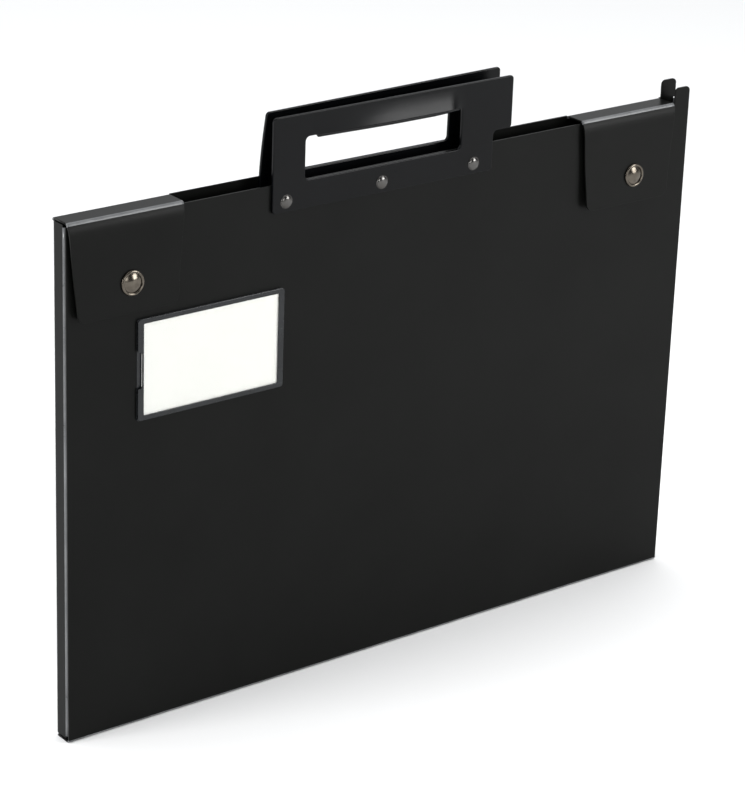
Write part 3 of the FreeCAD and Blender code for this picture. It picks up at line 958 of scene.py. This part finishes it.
@dataclass
class CaseShell:
    """The spine strip, front cover and back panel, with the ears at their right ends."""

    finishes: Finishes
    ear_width: float = 12 * MM
    ear_radius: float = 3 * MM
    corner_radius: float = 2 * MM
    cover_drop: float = 2 * MM
    case_height: float = 320 * MM
    notch_depth: float = 1.6 * MM
    notch_gap: float = 0.5 * MM
    step_down: float = 1.2 * MM
    bow: float = 0.22 * MM
    bow_reach: float = 40 * MM
    crease_inset: float = 1.6 * MM

    def build(self) -> None:
        """Build the three panels and the two spine creases."""
        self.build_spine()
        self.build_cover()
        self.build_back()
        ends = (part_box("front_cover")[0].x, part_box("front_cover")[1].x)
        up = Vector((0, 0, 1))
        folds = (("front_cover_fold", Vector((0, 1, 0))), ("back_panel_fold", Vector((0, -1, 0))))
        for joint, away in folds:
            drawn_in = self.crease_inset if away.y < 0 else 0.0
            crease = Crease(joint, away, up, (ends[0] + drawn_in, ends[1] - drawn_in))
            crease.build(joint.replace("_fold", "_crease"), self.finishes)

    def build_spine(self) -> None:
        """Build the strip that the case stands on."""
        low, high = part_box("spine_strip")
        outline = rounded(rectangle(low.x, low.y, high.x, high.y))
        slab = Slab(outline, high.z - low.z, Axis.TOP.matrix((0, 0, low.z)))
        piece = slab.build("spine_sheet")
        dress(piece, self.finishes.sheet, self.finishes.edge)
        install(piece, "spine", "case_sheet", "spine_strip")

    def build_cover(self) -> None:
        """Build the front cover, bowed by a hair between its fold and its free edge."""
        low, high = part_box("front_cover")
        top = self.case_height - self.cover_drop
        ear = high.x - self.ear_width
        corners = [
            Corner(low.x, low.z),
            Corner(high.x, low.z),
            Corner(high.x, high.z, self.ear_radius),
            Corner(ear, high.z, self.ear_radius),
            Corner(ear, top),
            Corner(low.x, top, self.corner_radius),
        ]

        def bowed(point: Vector) -> Vector:
            """Lift the middle of the cover's left edge."""
            reach = max(0.0, 1 - (point.x - low.x) / self.bow_reach)
            lift = math.sin(math.pi * (point.y - low.z) / (top - low.z))
            return point + Vector((0, 0, self.bow * lift * reach ** 2))

        slab = Slab(rounded(corners), high.y - low.y, Axis.FRONT.matrix((0, high.y, 0)),
                    rows=14, columns=22, shape=bowed)
        piece = slab.build("front_cover_sheet")
        dress(piece, self.finishes.sheet, self.finishes.edge)
        install(piece, "front_cover", "case_sheet", "front_cover")

    def build_back(self) -> None:
        """Build the back panel, notched where the tab strips fold off it."""
        low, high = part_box("back_panel")
        left_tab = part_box("left_tab_strip")[1].x + self.notch_gap
        right_tab = (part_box("right_tab_strip")[0].x - self.notch_gap,
                     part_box("right_tab_strip")[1].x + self.notch_gap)
        notch = self.case_height - self.notch_depth
        shoulder = self.case_height - self.step_down
        right_edge = -low.x
        ear = high.x - self.ear_width
        corners = [
            Corner(low.x, low.z),
            Corner(right_edge, low.z),
            Corner(right_edge, shoulder),
            Corner(high.x, shoulder),
            Corner(high.x, high.z, self.ear_radius),
            Corner(ear, high.z, self.ear_radius),
            Corner(ear, self.case_height),
            Corner(right_tab[1], self.case_height),
            Corner(right_tab[1], notch),
            Corner(right_tab[0], notch),
            Corner(right_tab[0], self.case_height),
            Corner(left_tab, self.case_height),
            Corner(left_tab, notch),
            Corner(low.x, notch),
        ]
        slab = Slab(rounded(corners), high.y - low.y, Axis.FRONT.matrix((0, high.y, 0)))
        piece = slab.build("back_panel_sheet")
        dress(piece, self.finishes.sheet, self.finishes.edge)
        install(piece, "back_panel", "case_sheet", "back_panel")


@dataclass
class SideWall:
    """One gusset with its side flap, at one end of the case."""

    side: Side
    finishes: Finishes
    free_radius: float = 14 * MM
    foot_radius: float = 5 * MM

    def build(self) -> None:
        """Build the gusset, the flap and the two creases between them and the back panel."""
        name = self.side.value
        low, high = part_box(f"{name}_gusset")
        outline = rounded(rectangle(low.y, low.z, high.y, high.z))
        gusset = Slab(outline, high.x - low.x, Axis.END.matrix((low.x, 0, 0))).build(f"{name}_gusset_sheet")
        dress(gusset, self.finishes.sheet, self.finishes.edge)
        install(gusset, f"{name}_gusset", "case_sheet", f"{name}_gusset")
        self.build_flap(name)
        outward = self.side.outward
        inwards = Vector((-outward, 0, 0))
        forward = Vector((0, -1, 0))
        Crease(f"{name}_gusset_fold", inwards, forward, (low.z, high.z)).build(
            f"{name}_gusset_crease", self.finishes)
        flap_low, flap_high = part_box(f"{name}_side_flap")
        Crease(f"{name}_side_flap_fold", -forward, inwards, (flap_low.z, flap_high.z)).build(
            f"{name}_side_flap_crease", self.finishes)

    def build_flap(self, name: str) -> None:
        """Build the flap, rounded at its free end.

        Args:
            name: the side's name.
        """
        low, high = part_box(f"{name}_side_flap")
        corners = rectangle(low.x, low.z, high.x, high.z)
        free = (1, 2) if self.side is Side.LEFT else (0, 3)
        radii = (self.foot_radius, self.free_radius)
        for index, radius in zip(free, radii):
            corners[index] = Corner(corners[index].across, corners[index].up, radius)
        flap = Slab(rounded(corners, 12), high.y - low.y, Axis.FRONT.matrix((0, high.y, 0)))
        piece = flap.build(f"{name}_side_flap_sheet")
        dress(piece, self.finishes.sheet, self.finishes.edge)
        install(piece, f"{name}_side_flap", "case_sheet", f"{name}_side_flap")


@dataclass
class ClosingTab:
    """One closing tab: its strip over the top of the case and its sprung, tapered flap."""

    side: Side
    finishes: Finishes
    length: float = 58 * MM
    taper: float = 5 * MM
    foot_radius: float = 5 * MM
    gap: float = 1.0 * MM
    thickness: float = 1.2 * MM
    tilt: float = math.radians(3)
    stud_drop: float = 40.4 * MM
    bulge: float = 1.5 * MM
    bulge_depth: float = 10 * MM
    stud_clear: float = 8 * MM

    def build(self) -> None:
        """Build the strip, the flap, their two creases and the press stud."""
        name = self.side.value
        low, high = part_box(f"{name}_tab_strip")
        outline = rounded(rectangle(low.x, low.y, high.x, high.y))
        strip = Slab(outline, high.z - low.z, Axis.TOP.matrix((0, 0, low.z))).build(f"{name}_tab_strip_sheet")
        dress(strip, self.finishes.sheet, self.finishes.edge)
        install(strip, f"{name}_tab_strip", "case_sheet", f"{name}_tab_strip")
        self.build_flap(name, low.x, high.x)
        span = (low.x, high.x)
        back = Vector((0, 1, 0))
        down = Vector((0, 0, -1))
        Crease(f"{name}_tab_fold", down, -back, span).build(f"{name}_tab_crease", self.finishes)
        Crease(f"{name}_tab_flap_fold", back, self.down(), span).build(
            f"{name}_tab_flap_crease", self.finishes)
        PressStud(self.side, self.finishes, self.stud_centre(), self.outwards()).build()

    def down(self) -> Vector:
        """The direction down the tilted flap."""
        return Vector((0, -math.sin(self.tilt), -math.cos(self.tilt)))

    def outwards(self) -> Vector:
        """The direction out of the flap's front."""
        return Vector((0, -math.cos(self.tilt), math.sin(self.tilt)))

    def fold(self) -> Vector:
        """The middle of the flap's fold line."""
        return Vector(JOINTS[f"{self.side.value}_tab_flap_fold"]["pos_m"])

    def stud_centre(self) -> Vector:
        """The stud's centre on the middle of the flap's sheet."""
        low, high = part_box(f"{self.side.value}_stud_cap")
        centre = self.fold() + self.down() * self.stud_drop
        centre.x = (low.x + high.x) / 2
        return centre

    def build_flap(self, name: str, left: float, right: float) -> None:
        """Build the flap, which swells a little between its fold and its stud.

        Args:
            name: the side's name.
            left: the tab's left end.
            right: the tab's right end.
        """
        corners = [
            Corner(left, -self.gap),
            Corner(left + self.taper, -self.length, self.foot_radius),
            Corner(right - self.taper, -self.length, self.foot_radius),
            Corner(right, -self.gap),
        ]
        across = Vector((1, 0, 0))
        out = self.outwards()
        place = Matrix.Translation(Vector((0, self.fold().y, self.fold().z)) - out * self.thickness / 2)
        place = place @ Matrix((across, -self.down(), out)).transposed().to_4x4()

        def swollen(point: Vector) -> Vector:
            """Push the sheet out just below its fold, and bring it back before the stud."""
            depth = max(0.0, -point.y - self.gap)
            share = depth / self.bulge_depth
            window = max(0.0, 1 - depth / (self.stud_drop - self.stud_clear))
            return point + Vector((0, 0, self.bulge * share * math.exp(1 - share) * window))

        slab = Slab(rounded(corners), self.thickness, place, rows=44, columns=6, shape=swollen)
        piece = slab.build(f"{name}_tab_flap_sheet")
        dress(piece, self.finishes.sheet, self.finishes.edge)
        install(piece, f"{name}_tab_flap", "case_sheet", f"{name}_tab_flap")


@dataclass
class PressStud:
    """One press stud: cap, socket and spring on the flap, post and eyelet on the cover."""

    side: Side
    finishes: Finishes
    centre: Vector
    outwards: Vector
    sheet: float = 1.2 * MM
    cap_radius: float = 7.5 * MM
    cap_height: float = 2.2 * MM
    bead: float = 0.95 * MM
    shank_radius: float = 2.3 * MM
    socket_radius: float = 5.6 * MM
    bore_radius: float = 2.7 * MM
    socket_height: float = 1.3 * MM
    wire_radius: float = 0.25 * MM
    flange_radius: float = 5.0 * MM
    post_height: float = 2.2 * MM
    eyelet_radius: float = 4.6 * MM
    eyelet_bore: float = 1.7 * MM

    def build(self) -> None:
        """Build the five pieces and fasten them to their bodies."""
        name = self.side.value
        flap = f"{name}_tab_flap"
        self.make("cap", self.cap(), self.finishes.nickel, flap, "stud_nickel")
        self.make("socket", self.socket(), self.finishes.nickel, flap, "stud_nickel")
        self.make("spring", self.spring(), self.finishes.wire, flap, "spring_wire", f"{name}_socket_spring")
        self.make("post", self.post(), self.finishes.nickel, "front_cover", "stud_nickel")
        self.make("eyelet", self.eyelet(), self.finishes.rivet, "front_cover", "rivet_nickel")

    def make(self, part: str, turning: Turning, material: bpy.types.Material, body: str, slot: str,
             node: str = "") -> None:
        """Build one turned piece of the stud.

        Args:
            part: the piece's own name.
            turning: its solid.
            material: its finish.
            body: the body that it moves with.
            slot: the record's material slot.
            node: the CAD node that it replaces, where that isn't side_stud_part.
        """
        name = self.side.value
        piece = turned_object(f"{name}_stud_{part}_metal", [turning])
        dress(piece, material)
        install(piece, body, slot, node or f"{name}_stud_{part}")

    def on_flap(self, out: float) -> Vector:
        """A point on the stud's axis, some way out from the middle of the flap's sheet."""
        return self.centre + self.outwards * out

    def cap(self) -> Turning:
        """The cap: a rolled bead round a shallow dome, on a shank through the flap."""
        top = self.sheet
        ring = self.cap_radius - self.bead
        dome_edge = ring - self.bead * 0.75
        dome_foot = top + self.bead * 0.75
        rise = self.cap_height - self.bead * 0.9
        profile = [(0.0, 0.0), (self.shank_radius, 0.0), (self.shank_radius, top)]
        profile.append((self.cap_radius * 0.96, top))
        profile += arc_profile((ring, top + self.bead * 0.55), self.bead, -30, 150, 14)
        profile += [
            (dome_edge * (1 - share), dome_foot + rise * (1 - (1 - share) ** 2) * 0.9)
            for share in (0.02, 0.1, 0.2, 0.35, 0.5, 0.65, 0.8, 0.92)
        ]
        profile.append((0.0, dome_foot + rise * 0.9))
        return Turning(profile, self.on_flap(-self.sheet / 2), self.outwards, 72)

    def socket(self) -> Turning:
        """The socket: a ring with a rolled lip, which faces the cover."""
        depth = self.socket_height
        lip = 0.45 * MM
        profile = [(self.bore_radius, 0.0), (self.socket_radius, 0.0)]
        profile += [(self.socket_radius, depth * 0.25), (self.bore_radius + 3.2 * lip, depth * 0.45)]
        profile += arc_profile((self.bore_radius + lip * 1.2, depth - lip), lip, 0, 180, 10)
        return Turning(profile, self.on_flap(-self.sheet / 2), -self.outwards, 64)

    def spring(self) -> Turning:
        """The wire ring that grips the post."""
        ring = self.bore_radius - self.wire_radius
        profile = arc_profile((ring, 0.0), self.wire_radius, 0, 330, 11)
        return Turning(profile, self.on_flap(-self.sheet / 2 - self.socket_height / 2), self.outwards, 48)

    def cover_point(self, face: float) -> Vector:
        """The post's axis at the cover, at one row Y."""
        return Vector((self.centre.x, face, self.centre.z))

    def post(self) -> Turning:
        """The post: a flange with a necked, rounded knob."""
        base = self.sheet
        flange = 0.6 * MM
        rim = 0.3 * MM
        neck = 1.7 * MM
        knob = 1.9 * MM
        crown = 0.5 * MM
        top = base + self.post_height
        profile = [(0.0, 0.0), (self.shank_radius, 0.0), (self.shank_radius, base)]
        profile.append((self.flange_radius, base))
        profile += arc_profile((self.flange_radius - rim, base + flange - rim), rim, 0, 90, 4)
        profile += [(neck + 0.5 * MM, base + flange), (neck, base + flange + 0.3 * MM)]
        profile.append((knob, top - 0.7 * MM))
        profile += arc_profile((knob - crown, top - crown), crown, 0, 90, 6)
        profile.append((0.0, top))
        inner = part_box("front_cover")[1].y
        return Turning(profile, self.cover_point(inner), Vector((0, -1, 0)), 56)

    def eyelet(self) -> Turning:
        """The eyelet on the inside of the cover: a flat ring rolled in at its middle."""
        rise = 0.4 * MM
        roll = 0.18 * MM
        profile = [(self.eyelet_bore, 0.0), (self.eyelet_radius, 0.0)]
        profile += arc_profile((self.eyelet_radius - roll, rise - roll), roll, 0, 90, 4)
        profile += arc_profile((self.eyelet_bore + roll, rise - roll), roll, 90, 180, 4)
        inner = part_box("front_cover")[1].y
        return Turning(profile, self.cover_point(inner), Vector((0, 1, 0)), 56)


@dataclass
class CarryHandle:
    """One flat handle plate, the lip folded behind its grip bar, and its three rivets and washers."""

    name: str
    body: str
    outward: int
    finishes: Finishes
    base_length: float = 162 * MM
    overhang_rise: float = 24.6 * MM
    corner_radius: float = 2.2 * MM
    notch_radius: float = 3 * MM
    grip: tuple[float, float, float, float] = (22.5 * MM, 17 * MM, 137.5 * MM, 43 * MM)
    grip_radius: float = 3 * MM
    lip_gap: float = 0.3 * MM
    lip_radius: float = 2.5 * MM
    bend_steps: int = 12
    tip_steps: int = 4
    tip_width: float = 0.82
    tip_crown: float = 0.08
    swell_height: float = 2.6 * MM
    swell_run: float = 70 * MM
    swell_end: float = 9 * MM
    lean: float = 0.0
    lean_start: float = 14 * MM
    curve: float = 1.5
    rivet_start: float = 9.5 * MM
    rivet_pitch: float = 69 * MM
    rivet_rise: float = 6.5 * MM
    head_radius: float = 4.2 * MM
    head_height: float = 1.5 * MM
    shank_radius: float = 1.6 * MM
    washer_height: float = 0.5 * MM
    plate_box: tuple[Vector, Vector] = field(init=False)

    def __post_init__(self) -> None:
        """Read where the plate stands."""
        self.plate_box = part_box(f"{self.name}_handle")

    def build(self) -> None:
        """Build the plate, then the lip, the rivets and the washers."""
        self.build_plate()
        self.build_lip()
        self.build_rivets()

    def build_plate(self) -> None:
        """Build the plate, softened at its edges."""
        low, high = self.plate_box
        base = low.x + self.base_length
        overhang = low.z + self.overhang_rise
        corners = [
            Corner(low.x, low.z, self.corner_radius),
            Corner(base, low.z, self.corner_radius),
            Corner(base, overhang, self.notch_radius),
            Corner(high.x, overhang, self.corner_radius),
            Corner(high.x, high.z, self.corner_radius),
            Corner(low.x, high.z, self.corner_radius),
        ]
        left, bottom, right, top = self.grip
        hole = rounded(rectangle(low.x + left, low.z + bottom, low.x + right, low.z + top, self.grip_radius))

        def bent(point: Vector) -> Vector:
            """Push the grip bar outwards above the opening, and lean the plate's left end inwards."""
            return point - Vector((0, 0, self.outward * self.bend(point.x, point.y)))

        slab = Slab(rounded(corners), high.y - low.y, Axis.FRONT.matrix((0, high.y, 0)),
                    holes=[list(reversed(hole))], edge_radius=0.45 * MM, edge_steps=4,
                    rows=20, columns=60, shape=bent)
        piece = slab.build(f"{self.name}_handle_plate")
        dress(piece, self.finishes.plate, self.finishes.plate_edge)
        install(piece, self.body, "handle_plate", f"{self.name}_handle")

    def build_lip(self) -> None:
        """Build the lip: the tongue of the opening, bent inwards round the bar's lower edge."""
        low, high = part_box(f"{self.name}_grip_lip")
        plate_low, plate_high = self.plate_box
        thickness = plate_high.y - plate_low.y
        outer_face = low.y if self.outward < 0 else high.y
        underside = plate_low.z + self.grip[3]
        rise = high.z - underside
        root = thickness + self.lip_gap
        lean = math.atan((high.y - low.y - root - thickness) / rise)
        fold = root / 2
        path = [Vector((thickness / 2, 0.0))]
        for step in range(1, self.bend_steps + 1):
            angle = (math.pi - lean) * step / self.bend_steps
            path.append(Vector((thickness / 2 + fold * (1 - math.cos(angle)), -fold * math.sin(angle))))
        along = Vector((math.sin(lean), math.cos(lean)))
        reach = (rise - path[-1].y) / along.y
        shares = [(step + 1) / self.tip_steps for step in range(self.tip_steps)]
        path += [path[-1] + along * reach * share for share in shares]
        shell = bmesh.new()
        rings = []
        for across, cut in self.lip_rows(low.x, high.x):
            ring = []
            for point in self.lip_section(path, thickness, cut):
                bend = self.bend(across, underside + point.y)
                depth = outer_face + self.outward * (bend - point.x)
                ring.append(shell.verts.new((across, depth, underside + point.y)))
            rings.append(ring)
        for start, end in zip(rings, rings[1:]):
            for index in range(len(start)):
                after = (index + 1) % len(start)
                shell.faces.new((start[index], start[after], end[after], end[index]))
        for ring in (rings[0], rings[-1]):
            shell.faces.new(ring)
        bmesh.ops.recalc_face_normals(shell, faces=shell.faces)
        for face in shell.faces:
            face.smooth = len(face.verts) == 4
        piece = mesh_object(f"{self.name}_grip_lip_fold", shell)
        dress(piece, self.finishes.plate)
        install(piece, self.body, "handle_plate", f"{self.name}_grip_lip")

    def bend(self, across: float, up: float) -> float:
        """How far the plate stands outwards of its flat shape at one point.

        Args:
            across: the point's row X.
            up: the point's row Z.

        Returns:
            The lip's push on the grip bar, less the plate's inward lean at its left end.
        """
        low, high = self.plate_box
        left, bottom, right, top = self.grip
        along = (across - low.x) / (high.x - low.x)
        rise = max(0.0, (up - low.z - self.lean_start) / (high.z - low.z - self.lean_start))
        lean = self.lean * (1 - along) * rise ** self.curve
        ends = (across - low.x - left, low.x + right - across)
        if min(ends) <= 0 or up < low.z + bottom + self.grip_radius:
            return -lean
        window = min(1.0, ends[0] / self.swell_run) * min(1.0, ends[1] / self.swell_end)
        window = window * window * (3 - 2 * window)
        share = max(0.0, min(1.0, (high.z - up) / (high.z - low.z - top)))
        return self.swell_height * window * share ** self.curve - lean

    def lip_rows(self, left: float, right: float) -> list[tuple[float, float]]:
        """Where the lip's sections stand, and how far each is cut down at the lip's round corners.

        Args:
            left: the lip's left end.
            right: the lip's right end.

        Returns:
            Pairs of row X and the height that the tip loses there.
        """
        rows = []
        steps = 6
        for step in range(steps + 1):
            angle = math.pi / 2 * step / steps
            rows.append((self.lip_radius * (1 - math.cos(angle)), self.lip_radius * (1 - math.sin(angle))))
        middle = [((right - left) * share, 0.0) for share in (0.2, 0.35, 0.5, 0.65, 0.8)]
        return ([(left + across, cut) for across, cut in rows]
                + [(left + across, cut) for across, cut in middle]
                + [(right - across, cut) for across, cut in reversed(rows)])

    def lip_section(self, path: Sequence[Vector], thickness: float, shrink: float) -> list[Vector]:
        """The closed section of the lip: the sheet's two faces along its middle line.

        Args:
            path: the middle line, from the plate to the tip.
            thickness: the sheet's thickness.
            shrink: how much of the tip is missing.

        Returns:
            The section's points, out along one face and back along the other.
        """
        points = list(path)
        direction = (points[-1] - points[-2]).normalized()
        for index in range(1, self.tip_steps + 1):
            share = (self.tip_steps + 1 - index) / self.tip_steps
            points[-index] = points[-index] - direction * shrink * share
        outer, inner = [], []
        for index, point in enumerate(points):
            before = points[max(0, index - 1)]
            after = points[min(len(points) - 1, index + 1)]
            tangent = (after - before).normalized() if index else Vector((0, -1))
            normal = Vector((tangent.y, -tangent.x))
            rounding = self.tip_width if index == len(points) - 1 else 1.0
            outer.append(point + normal * thickness / 2 * rounding)
            inner.append(point - normal * thickness / 2 * rounding)
        tip = points[-1] + direction * thickness * self.tip_crown
        return outer + [tip] + list(reversed(inner))

    def rivet_centres(self) -> list[tuple[float, float]]:
        """The three rivets' places as row X and Z."""
        low = self.plate_box[0]
        return [(low.x + self.rivet_start + count * self.rivet_pitch, low.z + self.rivet_rise)
                for count in range(3)]

    def build_rivets(self) -> None:
        """Build the domed rivets and, on the other side, their washers with the closed shank ends."""
        low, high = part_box(f"{self.name}_handle_rivets")
        out = Vector((0, self.outward, 0))
        foot, tip = (low.y, high.y) if self.outward > 0 else (high.y, low.y)
        length = abs(tip - foot) - self.head_height
        heads, rings = [], []
        for across, up in self.rivet_centres():
            heads.append(Turning(self.head_profile(length), Vector((across, foot, up)), out, 48))
            rings.append(Turning(self.washer_profile(), Vector((across, foot, up)), out, 48))
        head = turned_object(f"{self.name}_handle_rivet_heads", heads)
        dress(head, self.finishes.rivet)
        install(head, self.body, "rivet_nickel", f"{self.name}_handle_rivets")
        ring = turned_object(f"{self.name}_handle_washer_rings", rings)
        dress(ring, self.finishes.rivet)
        install(ring, self.body, "rivet_nickel", f"{self.name}_handle_washers")

    def head_profile(self, length: float) -> list[Point2]:
        """The rivet's profile: shank, closed end and domed head on a thin flange.

        Args:
            length: from the closed end to the head.

        Returns:
            The profile's points.
        """
        flange = 0.28 * MM
        dome = self.head_height - flange
        edge = self.head_radius - 0.35 * MM
        profile = [(0.0, 0.0), (self.shank_radius, 0.0), (self.shank_radius, length)]
        profile += [(self.head_radius - 0.1 * MM, length), (self.head_radius, length + flange / 2)]
        profile += [(self.head_radius - 0.1 * MM, length + flange)]
        turns = [math.pi / 2 * step / 8 for step in range(8)]
        profile += [(edge * math.cos(turn), length + flange + dome * math.sin(turn)) for turn in turns]
        profile.append((0.0, length + self.head_height))
        return profile

    def washer_profile(self) -> list[Point2]:
        """The washer's profile: a flat ring with rounded edges."""
        roll = 0.2 * MM
        outer = self.head_radius
        inner = self.shank_radius
        profile = [(inner, self.washer_height), (outer, self.washer_height)]
        profile += arc_profile((outer - roll, roll), roll, 0, -90, 4)
        profile += arc_profile((inner + roll * 1.5, roll), roll, -90, -180, 4)
        return profile


@dataclass
class LabelHolder:
    """The label holder on the front cover: rim, backing, clear film and loose card."""

    finishes: Finishes
    rim_across: float = 4 * MM
    rim_up: float = 3 * MM
    plan_radius: float = 2 * MM
    channel_depth: float = 1.2 * MM
    channel_rise: float = 1.75 * MM
    channel_end: float = 2.65 * MM
    notch_height: float = 22 * MM
    notch_depth: float = 3 * MM
    notch_radius: float = 2 * MM
    end_radius: float = 1 * MM
    inner_radius: float = 0.6 * MM
    base_edge: float = 0.1 * MM
    face_edge: float = 0.28 * MM
    flat_radius: float = 0.5 * MM
    flat_edge: float = 0.05 * MM

    def build(self) -> None:
        """Build the rim in two layers, then the backing, the card and the film."""
        low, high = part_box("label_frame")
        self.build_rim(low, high)
        self.build_flat("label_backing", "label_backing_sheet", "front_cover", self.finishes.rim, "label_rim")
        self.build_flat("label_card", "label_card_paper", "label_card", self.finishes.card, "label_card")
        self.build_flat("label_window", "label_window_film", "front_cover", self.finishes.film, "clear_film")

    def build_rim(self, low: Vector, high: Vector) -> None:
        """Build the rim: a base open at the left, and over it a face with the thumb notch.

        Args:
            low: the lowest corner of the rim's box.
            high: its highest corner.
        """
        inner_right = high.x - self.channel_end
        base = [
            Corner(low.x, low.z, self.end_radius),
            Corner(high.x, low.z, self.plan_radius),
            Corner(high.x, high.z, self.plan_radius),
            Corner(low.x, high.z, self.end_radius),
            Corner(low.x, high.z - self.channel_rise),
            Corner(inner_right, high.z - self.channel_rise),
            Corner(inner_right, low.z + self.channel_rise),
            Corner(low.x, low.z + self.channel_rise),
        ]
        middle = (low.z + high.z) / 2
        notch = (middle - self.notch_height / 2, middle + self.notch_height / 2)
        face = rectangle(low.x, low.z, high.x, high.z, self.plan_radius)
        face += [
            Corner(low.x, notch[1], self.inner_radius),
            Corner(low.x + self.notch_depth, notch[1], self.notch_radius),
            Corner(low.x + self.notch_depth, notch[0], self.notch_radius),
            Corner(low.x, notch[0], self.inner_radius),
        ]
        window = rounded(rectangle(low.x + self.rim_across, low.z + self.rim_up,
                                   high.x - self.rim_across, high.z - self.rim_up, self.inner_radius))
        thickness = high.y - low.y
        lower = Slab(rounded(base), self.channel_depth, Axis.FRONT.matrix((0, high.y, 0)),
                     edge_radius=self.base_edge)
        upper = Slab(rounded(face), thickness - self.channel_depth,
                     Axis.FRONT.matrix((0, high.y - self.channel_depth, 0)),
                     holes=[list(reversed(window))], edge_radius=self.face_edge, edge_steps=5)
        for slab, name, nodes in ((lower, "label_rim_base", ()), (upper, "label_rim_face", ("label_frame",))):
            piece = slab.build(name)
            dress(piece, self.finishes.rim, self.finishes.rim)
            install(piece, "front_cover", "label_rim", *nodes)

    def build_flat(self, node: str, name: str, body: str, material: bpy.types.Material, slot: str) -> None:
        """Build one thin flat sheet where its CAD node is.

        Args:
            node: the CAD node.
            name: the piece's name.
            body: the body that it moves with.
            material: its finish.
            slot: the record's material slot.
        """
        low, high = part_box(node)
        outline = rounded(rectangle(low.x, low.z, high.x, high.z, self.flat_radius))
        slab = Slab(outline, high.y - low.y, Axis.FRONT.matrix((0, high.y, 0)),
                    edge_radius=self.flat_edge, edge_steps=2)
        piece = slab.build(name)
        dress(piece, material, material)
        install(piece, body, slot, node)


# ------------------------------------------------------------------ the studio


@dataclass
class Studio:
    """The floor, lights, surroundings and camera. None of it belongs to the case."""

    azimuth: float = -38.07
    elevation: float = 22.0
    roll: float = 2.01
    distance: float = 1.803
    target: tuple[float, float, float] = (-0.0148, -0.007, 0.1691)
    lens: float = 134.5
    floor_size: float = 60.0
    surroundings: tuple[float, float, float] = (0.97, 0.985, 1.0)
    front_level: float = 0.15
    back_level: float = 1.0
    front_end: float = -0.9
    back_end: float = 0.4

    def build(self) -> None:
        """Build the floor, then the lights, then the camera."""
        self.build_floor()
        self.build_world()
        self.add_light("top_softbox", (-0.2, 0.5, 2.6), (0, 0, 0.1), 2.4, 24)
        self.add_light("left_softbox", (-2.6, 0.3, 0.9), (0, 0, 0.15), 1.2, 60)
        self.add_light("front_softbox", (-0.6, -3.0, 1.0), (0, 0, 0.15), 1.2, 26)
        self.add_light("near_softbox", (0.7, -0.75, 1.0), (0.35, -0.3, 0), 0.5, 6)
        self.add_light("right_softbox", (1.9, -2.6, 0.85), (0, 0, 0.25), 1.0, 46)
        self.build_camera()

    def build_floor(self) -> None:
        """Build the plain pale floor."""
        bpy.ops.mesh.primitive_plane_add(size=self.floor_size, location=(0, 0, 0))
        floor = bpy.context.object
        floor.name = "studio_floor"
        dress(floor, FloorFinish("studio_paper").material())
        floor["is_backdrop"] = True

    def build_world(self) -> None:
        """Set soft surroundings, bright behind and above the case and dim in front of it."""
        world = bpy.data.worlds.new("studio_world")
        world.use_nodes = True
        nodes = world.node_tree.nodes
        links = world.node_tree.links
        parts = nodes.new("ShaderNodeSeparateXYZ")
        links.new(nodes.new("ShaderNodeTexCoord").outputs["Generated"], parts.inputs[0])
        level = nodes.new("ShaderNodeMapRange")
        level.interpolation_type = "SMOOTHSTEP"
        level.inputs["From Min"].default_value = self.front_end
        level.inputs["From Max"].default_value = self.back_end
        level.inputs["To Min"].default_value = self.front_level
        level.inputs["To Max"].default_value = self.back_level
        links.new(parts.outputs["Y"], level.inputs["Value"])
        background = nodes["Background"]
        background.inputs["Color"].default_value = (*self.surroundings, 1.0)
        links.new(level.outputs[0], background.inputs["Strength"])
        bpy.context.scene.world = world
        bpy.context.scene.view_settings.view_transform = "Standard"

    @staticmethod
    def add_light(name: str, place: Sequence[float], towards: Sequence[float], size: float,
                  power: float) -> None:
        """Add one square softbox.

        Args:
            name: the light's name.
            place: where it stands.
            towards: the point that it faces.
            size: the length of its side.
            power: its power in watts.
        """
        lamp = bpy.data.lights.new(name, "AREA")
        lamp.size = size
        lamp.energy = power
        made = bpy.data.objects.new(name, lamp)
        made.location = place
        made.rotation_euler = (Vector(towards) - Vector(place)).to_track_quat("-Z", "Y").to_euler()
        bpy.context.scene.collection.objects.link(made)

    def build_camera(self) -> None:
        """Build the camera, which looks down at the case from its front left."""
        turn, rise = math.radians(self.azimuth), math.radians(self.elevation)
        back = Vector((math.sin(turn) * math.cos(rise), -math.cos(turn) * math.cos(rise), math.sin(rise)))
        data = bpy.data.cameras.new("camera")
        data.lens = self.lens
        data.clip_end = 200
        camera = bpy.data.objects.new("camera", data)
        aim = (-back).to_track_quat("-Z", "Y").to_matrix().to_4x4()
        spin = Matrix.Rotation(math.radians(self.roll), 4, "Z")
        camera.matrix_world = Matrix.Translation(Vector(self.target) + back * self.distance) @ aim @ spin
        bpy.context.scene.collection.objects.link(camera)
        bpy.context.scene.camera = camera


def write_sizes() -> None:
    """Work out the CAD box and the visual model's box as plain lists.
    """
    boxes = {"cad": CAD_BOX, "visual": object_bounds()}
    plain = {name: [list(corner) for corner in box] for name, box in boxes.items()}


def main() -> None:
    """Build the case and its studio, and report each piece."""
    logging.basicConfig(level=logging.INFO, format="%(name)s: %(message)s")
    finishes = Finishes()
    CaseShell(finishes).build()
    for side in Side:
        SideWall(side, finishes).build()
        ClosingTab(side, finishes).build()
    CarryHandle("front", "front_cover", -1, finishes).build()
    CarryHandle("back", "back_panel", 1, finishes, lean=6 * MM).build()
    LabelHolder(finishes).build()
    Studio().build()
    write_sizes()


if __name__ == "__main__":
    main()
